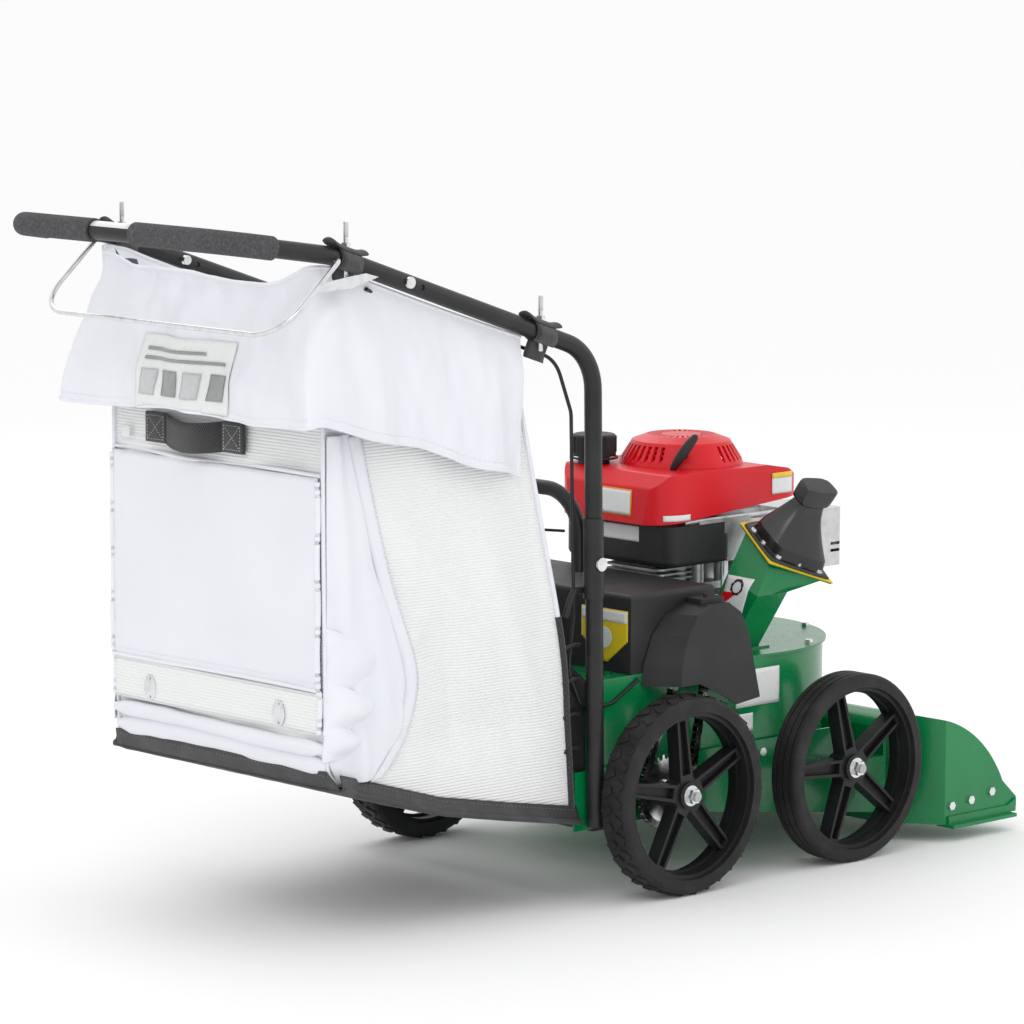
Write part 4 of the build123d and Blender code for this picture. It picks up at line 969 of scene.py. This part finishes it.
def roller_chain():
    """Pin-jointed links round both sprockets, replacing the plain chain band."""
    pitch, wheel_teeth, drive_teeth = 12.7, 28, 14
    big, small = pitch / (2 * math.sin(math.pi / wheel_teeth)), pitch / (2
            * math.sin(math.pi / drive_teeth))
    a, b = Vector((0, 165)), Vector((69, 374))
    axis = b - a
    span = axis.length
    heading = math.atan2(axis.y, axis.x)
    tilt = math.acos((big - small) / span)
    route = []
    for i in range(41):
        angle = heading + tilt + (2 * math.pi - 2 * tilt) * i / 40
        route.append(a + Vector((math.cos(angle), math.sin(angle))) * big)
    for i in range(25):
        angle = heading - tilt + 2 * tilt * i / 24
        route.append(b + Vector((math.cos(angle), math.sin(angle))) * small)
    route.append(route[0].copy())
    lengths = [0.0]
    for p, q in zip(route, route[1:]):
        lengths.append(lengths[-1] + (q - p).length)
    links = round(lengths[-1] / pitch / 2) * 2

    def spot(distance):
        distance %= lengths[-1]
        k = max(i for i, value in enumerate(lengths) if value <= distance + 1e-9)
        k = min(k, len(route) - 2)
        return route[k].lerp(route[k + 1], (distance - lengths[k]) / max(lengths[k + 1] - lengths[k], 1e-9))

    pins = [spot(i * lengths[-1] / links) for i in range(links)]
    points, faces = [], []

    def prism(outline, y0, y1):
        base, count = len(points), len(outline)
        points.extend(at(x, y, z) for y in (y0, y1) for x, z in outline)
        faces.extend([tuple(base + i for i in range(count)), tuple(base + count + i for i in range(count))])
        faces.extend((base + i, base + (i + 1) % count, base + count + (i + 1) % count, base + count + i)
                     for i in range(count))

    for i, pin in enumerate(pins):
        after = pins[(i + 1) % links]
        ahead = (after - pin).normalized()
        side = Vector((-ahead.y, ahead.x))
        outline = []
        for centre, sign in ((pin, -1), (after, 1)):
            for k in range(7):
                angle = math.radians(-90 + 180 * k / 6)
                outline.append(centre + (ahead * math.cos(angle) * sign + side * math.sin(angle) * sign)
                               * 5.2)
        outer = i % 2
        for sign in (-1, 1):
            inner_y = CHAIN_Y + sign * (5.4 if outer else 4.3)
            prism([(p.x, p.y) for p in outline], inner_y, inner_y + sign * 1.0)
        circle = [(pin.x + 3.9 * math.cos(t), pin.y + 3.9 * math.sin(t))
                  for t in [math.pi * k / 5 for k in range(10)]]
        prism(circle, CHAIN_Y - 4.2, CHAIN_Y + 4.2)
        tiny = [(pin.x + 1.8 * math.cos(t), pin.y + 1.8 * math.sin(t))
                for t in [math.pi * k / 4 for k in range(8)]]
        prism(tiny, CHAIN_Y - 7.4, CHAIN_Y + 7.4)
    piece("chain_links", points, faces, OILED, "chassis", "roller_chain", ("drive_chain",), 40)


def on_surface(nodes, start, toward):
    """Where a ray first meets one of the named CAD nodes."""
    best = None
    for name in nodes:
        hit, place, normal, _ = node[name].ray_cast(start, toward)
        if hit and (best is None or (place - start).length < (best[0] - start).length):
            best = (place, normal)
    return best


def film(name, nodes, start, across, down, toward, finish, columns=12, rows=8, lift=0.0009, keep=None):
    """A thin printed film pressed onto a CAD surface, its grid shot along a direction."""
    points, faces, index = [], [], {}
    for j in range(rows + 1):
        for i in range(columns + 1):
            found = on_surface(nodes, start + across * (i / columns) + down * (j / rows), toward)
            if found:
                index[i, j] = len(points)
                points.append(found[0] + found[1] * lift)
    for j in range(rows):
        for i in range(columns):
            corners = [index.get(c) for c in ((i, j), (i + 1, j), (i + 1, j + 1), (i, j + 1))]
            if None not in corners and (keep is None or keep((i + 0.5) / columns, (j + 0.5) / rows)):
                faces.append(tuple(corners))
    if not faces:
        print("film found nothing:", name)
        return None
    made = piece(name, points, faces, finish, "chassis", "black_plastic", (), 60)
    modify(made, "SOLIDIFY", thickness=0.0004, offset=1)
    return made


def plain_films():
    """Blank labels where the machine carries its plates and notices."""
    side = Vector((0, 1, 0))
    shroud = ("engine_shroud",)
    back = Vector((1, 0, 0))
    film("shroud_film_rear", shroud, at(0, 15, 628), Vector((0, -0.075, 0)), Vector((0, 0, -0.046)), back,
         ORANGE_FILM)
    film("shroud_film_rear_face", shroud, at(0, 12, 625), Vector((0, -0.069, 0)), Vector((0, 0, -0.040)),
         back,
         WHITE_FILM, 12, 8, 0.0016)
    film("shroud_film_small", shroud, at(150, -300, 588), Vector((0.05, 0, 0)), Vector((0, 0, -0.010)),
         side, WHITE_FILM,
         12, 3)
    film("shroud_film_front", shroud, at(398, -300, 640), Vector((0.052, 0, 0)), Vector((0, 0, -0.036)),
         side, WHITE_FILM)
    film("shroud_film_front_edge", shroud, at(398, -300, 640), Vector((0.052, 0, 0)),
         Vector((0, 0, -0.009)), side,
         YELLOW_FILM, 12, 3, 0.0016)
    film("tank_film", ("fuel_tank",), at(0, 30, 564), Vector((0, -0.09, 0)), Vector((0, 0, -0.026)), back,
         WHITE_FILM)
    film("housing_film_large", ("blower_housing",), at(196, -400, 335), Vector((0.105, 0, 0)),
         Vector((0, 0, -0.062)),
         side, WHITE_FILM, 20, 8)
    film("housing_film_small", ("blower_housing",), at(186, -400, 262), Vector((0.052, 0, 0)),
         Vector((0, 0, -0.030)),
         side, WHITE_FILM, 12, 6)

    def shield(u, v):
        return v < 0.55 or abs(u - 0.5) < 0.5 * (1 - (v - 0.55) / 0.5)

    film("cover_film_shield", ("belt_cover",), at(-400, -130, 462), Vector((0, -0.108, 0)),
         Vector((0, 0, -0.088)), back,
         YELLOW_FILM, 24, 24, 0.0009, shield)
    film("cover_film_head", ("belt_cover",), at(-400, -132, 460), Vector((0, -0.104, 0)),
         Vector((0, 0, -0.019)), back,
         WHITE_FILM, 12, 4, 0.0016)
    film("cover_film_disc", ("belt_cover",), at(-400, -166, 432), Vector((0, -0.036, 0)),
         Vector((0, 0, -0.036)), back,
         WHITE_FILM, 24, 24, 0.0018, lambda u, v: (u - 0.5) ** 2 + (v - 0.5) ** 2 < 0.24)
    film("chute_film", ("chipper_chute",), at(100, -168, 484), Vector((0, -0.052, -0.004)),
         Vector((0, 0.012, -0.062)),
         back, WHITE_FILM, 10, 10)
    film("chute_film_corner", ("chipper_chute",), at(100, -160, 456), Vector((0, -0.034, 0)),
         Vector((0, 0.008, -0.032)),
         back, RED, 10, 10, 0.0016, lambda u, v: u + v < 1.0)
    film("chute_film_disc", ("chipper_chute",), at(100, -180, 478), Vector((0, -0.026, 0)),
         Vector((0, 0.004, -0.026)),
         back, BLACK_PAINT, 14, 14, 0.0016, lambda u, v: 0.13 < (u - 0.5) ** 2 + (v - 0.5) ** 2 < 0.25)
    down = Vector((0, 0, -1))
    film("crossbar_film", ("upper_handle",), at(-933, 46, 1300), Vector((0.024, 0, 0)),
         Vector((0, -0.092, 0)), down,
         WHITE_FILM, 10, 6, 0.0004)


# ---- hopper and starter ----------------------------------------------------------------------

HOPPER_SLOPE = math.tan(math.radians(38))
HOPPER_UP = Vector((0, -math.sin(math.radians(38)), math.cos(math.radians(38))))


def rounded_ring(corners, soft, count=40):
    """A closed ring of points round four corners, its corners softened."""
    ring = []
    for k in range(count):
        place = 4 * k / count
        index, share = int(place), place % 1
        a, b = corners[index], corners[(index + 1) % 4]
        straight = a.lerp(b, share)
        centre = sum(corners, Vector()) / 4
        pull = abs(share - 0.5) * 2
        ring.append(straight.lerp(centre, soft * pull ** 4))
    return ring


def hopper():
    """Moulded chute hood: a bolted flange swept up into a narrow neck and a closed end block."""
    flange = [Vector((x, y, 557 + HOPPER_SLOPE * (y + 172)))
              for x, y in ((297, -172), (294, -231), (376, -276), (376, -172))]
    middle_point = sum(flange, Vector()) / 4

    def lifted(amount, grow):
        return [c + (c - middle_point).normalized() * grow + HOPPER_UP * amount for c in flange]

    def quad(centre, across, down):
        return [Vector(centre) + Vector(across) * i + Vector(down) * j for i,
                j in ((-1, -1), (-1, 1), (1, 1), (1, -1))]

    foot = [lifted(2.2, 12), lifted(7.5, 12), lifted(9.5, 9), lifted(10, 0), lifted(30, -2)]
    neck = quad((357, -237, 588), (26, -7, -2), (0, -17, -12))
    throat = quad((364, -252, 606), (22, -6, -2), (1, -13, -10))
    rings = [rounded_ring(c, s) for c, s in zip(foot, (0.05, 0.05, 0.06, 0.10, 0.14))]
    low, mid, high = rings[-1], rounded_ring(neck, 0.2), rounded_ring(throat, 0.2)
    for k in range(1, 9):
        t = k / 8
        rings.append([a * (1 - t) ** 2 + b * 2 * t * (1 - t) + c * t ** 2 for a, b,
                      c in zip(low, mid, high)])
    sizes = ((0, 1.0), (3, 1.18), (8, 1.26), (30, 1.26), (33, 1.18))
    centre = sum(high, Vector()) / len(high)
    axis = Vector((0.30, -0.42, 0.86)).normalized()
    for rise, scale in sizes:
        rings.append([centre + (q - centre) * scale + axis * rise for q in high])
    count = len(rings[0])
    points = [at(*q) for ring in rings for q in ring]
    ribs = 5
    faces = grid_faces(count, len(rings),
                       True) + [tuple(range((len(rings) - 1) * count, len(rings) * count))]
    hood = piece("chipper_hood", points, faces, GLOSSY, "chassis", "black_plastic", ("chipper_hopper",), 50)
    modify(hood, "BEVEL", width=0.0015, segments=2, limit_method="ANGLE")
    modify(hood, "SUBSURF", levels=1)
    for k in range(ribs):
        t = 0.2 + 0.15 * k
        index = 30 + k
        line = [rings[5 + j][index % count].lerp(sum(rings[5 + j], Vector()) / count, -0.012)
                for j in range(8)]
        tube(f"hood_rib_{k + 1}", [at(*q) for q in line], lambda s: 0.0011 + 0.0014 * math.sin(math.pi * s),
             GLOSSY,
             "chassis", "black_plastic", 8)
    for k, (x, y) in enumerate(((300, -182), (298, -205), (304, -232), (336, -250), (366, -266))):
        foot_z = 557 + HOPPER_SLOPE * (y + 172)
        base = Vector((x, y, foot_z)) + HOPPER_UP * 9.6
        hex_head(f"hood_bolt_{k + 1}", at(*base), HOPPER_UP, 0.0052, 0.0042)
    return hood


def hex_head(name, foot, up, radius, height):
    """A hexagon head with a chamfered crown on a washer."""
    side = up.orthogonal().normalized()
    over = up.cross(side)
    points, faces = [], []
    for rise, grow, sides in ((0, 1.45, 24), (0.001, 1.45, 24)):
        points += [foot + up * rise + (side * math.cos(a) + over * math.sin(a)) * radius * grow
                   for a in [2 * math.pi * k / sides for k in range(sides)]]
    faces += [tuple(range(24)),
              tuple(range(24, 48))] + [(k, (k + 1) % 24, 24 + (k + 1) % 24, 24 + k) for k in range(24)]
    base = len(points)
    for rise, grow in ((0.001, 1.0), (height * 0.82, 1.0), (height, 0.84)):
        points += [foot + up * rise + (side * math.cos(a) + over * math.sin(a)) * radius * grow
                   for a in [math.pi * k / 3 for k in range(6)]]
    faces += [(base + r * 6 + k, base + r * 6 + (k + 1) % 6, base + r * 6 + 6 + (k + 1) % 6,
               base + r * 6 + 6 + k)
              for r in range(2) for k in range(6)] + [tuple(range(base + 12, base + 18))]
    return piece(name, points, faces, ZINC, "chassis", "zinc", (), 20)


def starter_grip():
    """Bowed pull bar with a waisted stub, standing off the recoil cover."""
    low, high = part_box("starter_grip")
    centre = (low + high) / 2
    out = Vector((-0.62, -0.66, 0.42)).normalized()
    lean = Vector((0.45, -0.35, 0.82)).normalized()
    front = centre + out * 0.004
    rings = []
    across = out.cross(lean).normalized()
    for i in range(25):
        s = -1 + i / 12
        bow = front + lean * 0.037 * s - out * 0.010 * s * s
        wide = 0.0088 * (1 - 0.45 * abs(s) ** 2.2) * (0.55 if abs(s) == 1 else 1)
        deep = 0.0070 * (1 - 0.35 * abs(s) ** 2.0) * (0.5 if abs(s) == 1 else 1)
        rings.append([bow + across * wide * math.cos(a) + out * deep * math.sin(a)
                      for a in [2 * math.pi * k / 20 for k in range(20)]])
    points = [q for ring in rings for q in ring]
    faces = grid_faces(20, 25, True) + [tuple(range(20)), tuple(range(480, 500))]
    bar = piece("starter_bar", points, faces, BLACK_PLASTIC, "starter", "black_plastic", ("starter_grip",),
                50)
    stub = [front - out * d for d in (0.0, 0.006, 0.012, 0.018, 0.022)]
    tube("starter_stub", stub, lambda s: 0.0075 - 0.0022 * math.sin(math.pi * s), BLACK_PLASTIC, "starter",
         "black_plastic", 16)
    return bar


def engine_trim():
    """Small parts round the engine: ribbed cap, its tether and the silver strip."""
    cap_low, cap_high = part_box("fuel_cap")
    centre = (cap_low + cap_high) / 2
    radius = (cap_high.x - cap_low.x) / 2
    ribs, faces = [], []
    for k in range(36):
        a = 2 * math.pi * k / 36
        base = len(ribs)
        for da, r in ((-0.05, radius * 0.99), (0.0, radius * 1.035), (0.05, radius * 0.99)):
            for z in (cap_low.z + 0.006, cap_high.z - 0.004):
                ribs.append(Vector((centre.x + r * math.cos(a + da), centre.y + r * math.sin(a + da), z)))
        faces += [(base, base + 2, base + 3, base + 1), (base + 2, base + 4, base + 5, base + 3)]
    piece("cap_ribs", ribs, faces, BLACK_PLASTIC, "filler_cap", "black_plastic", (), 20)
    ring = [Vector((centre.x + (radius + 0.002) * math.cos(a), centre.y + (radius + 0.002) * math.sin(a),
                    cap_low.z - 0.003))
            for a in [2 * math.pi * k / 32 for k in range(33)]]
    tube("cap_tether", ring, 0.0022, BLACK_PLASTIC, "chassis", "black_plastic", 8)
    strip_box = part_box("engine_shroud")
    y = strip_box[0].y - 0.0012
    line_a = [Vector((strip_box[0].x + 0.06 + 0.24 * i / 20, y + 0.004, strip_box[0].z + 0.006))
              for i in range(21)]
    line_b = [p + Vector((0, 0, -0.008)) for p in line_a]
    strip("shroud_trim", line_a, line_b, CAST, "chassis", "cast_aluminium", 1, 0.0016)


def neck_trim():
    """Rolled lip and ribs of the moulded neck between blower and bag."""
    lip = curve_points([at(-205, -250, 470), at(-190, -251, 505), at(-178, -251, 512), at(-150, -251, 508)],
                       8)
    tube("neck_lip", lip, 0.006, BLACK_PLASTIC, "chassis", "black_plastic", 12)
    for k in range(4):
        z = 250 + 56 * k
        rib = curve_points([at(-206 - 2 * k, -249, z), at(-190, -252, z + 6), at(-172, -250, z + 4)], 6)
        tube(f"neck_rib_{k + 1}", rib, 0.0035, BLACK_PLASTIC, "chassis", "black_plastic", 8)


GREY_THREAD = flat_print("grey_thread", (0.20, 0.20, 0.21), (0.3, 0.3, 0.3))
PALE_PRINT = flat_print("pale_print", (0.55, 0.56, 0.57), (0.46, 0.47, 0.48))

bag_shell()
bag_bindings()
side_gusset()
gusset_folds()
door_flap()
rolled_sleeve()
lift_handle()
dust_skirt()
bag_sole()
handle_straps()
roller_chain()
plain_films()
engine_trim()
neck_trim()
hopper()
starter_grip()
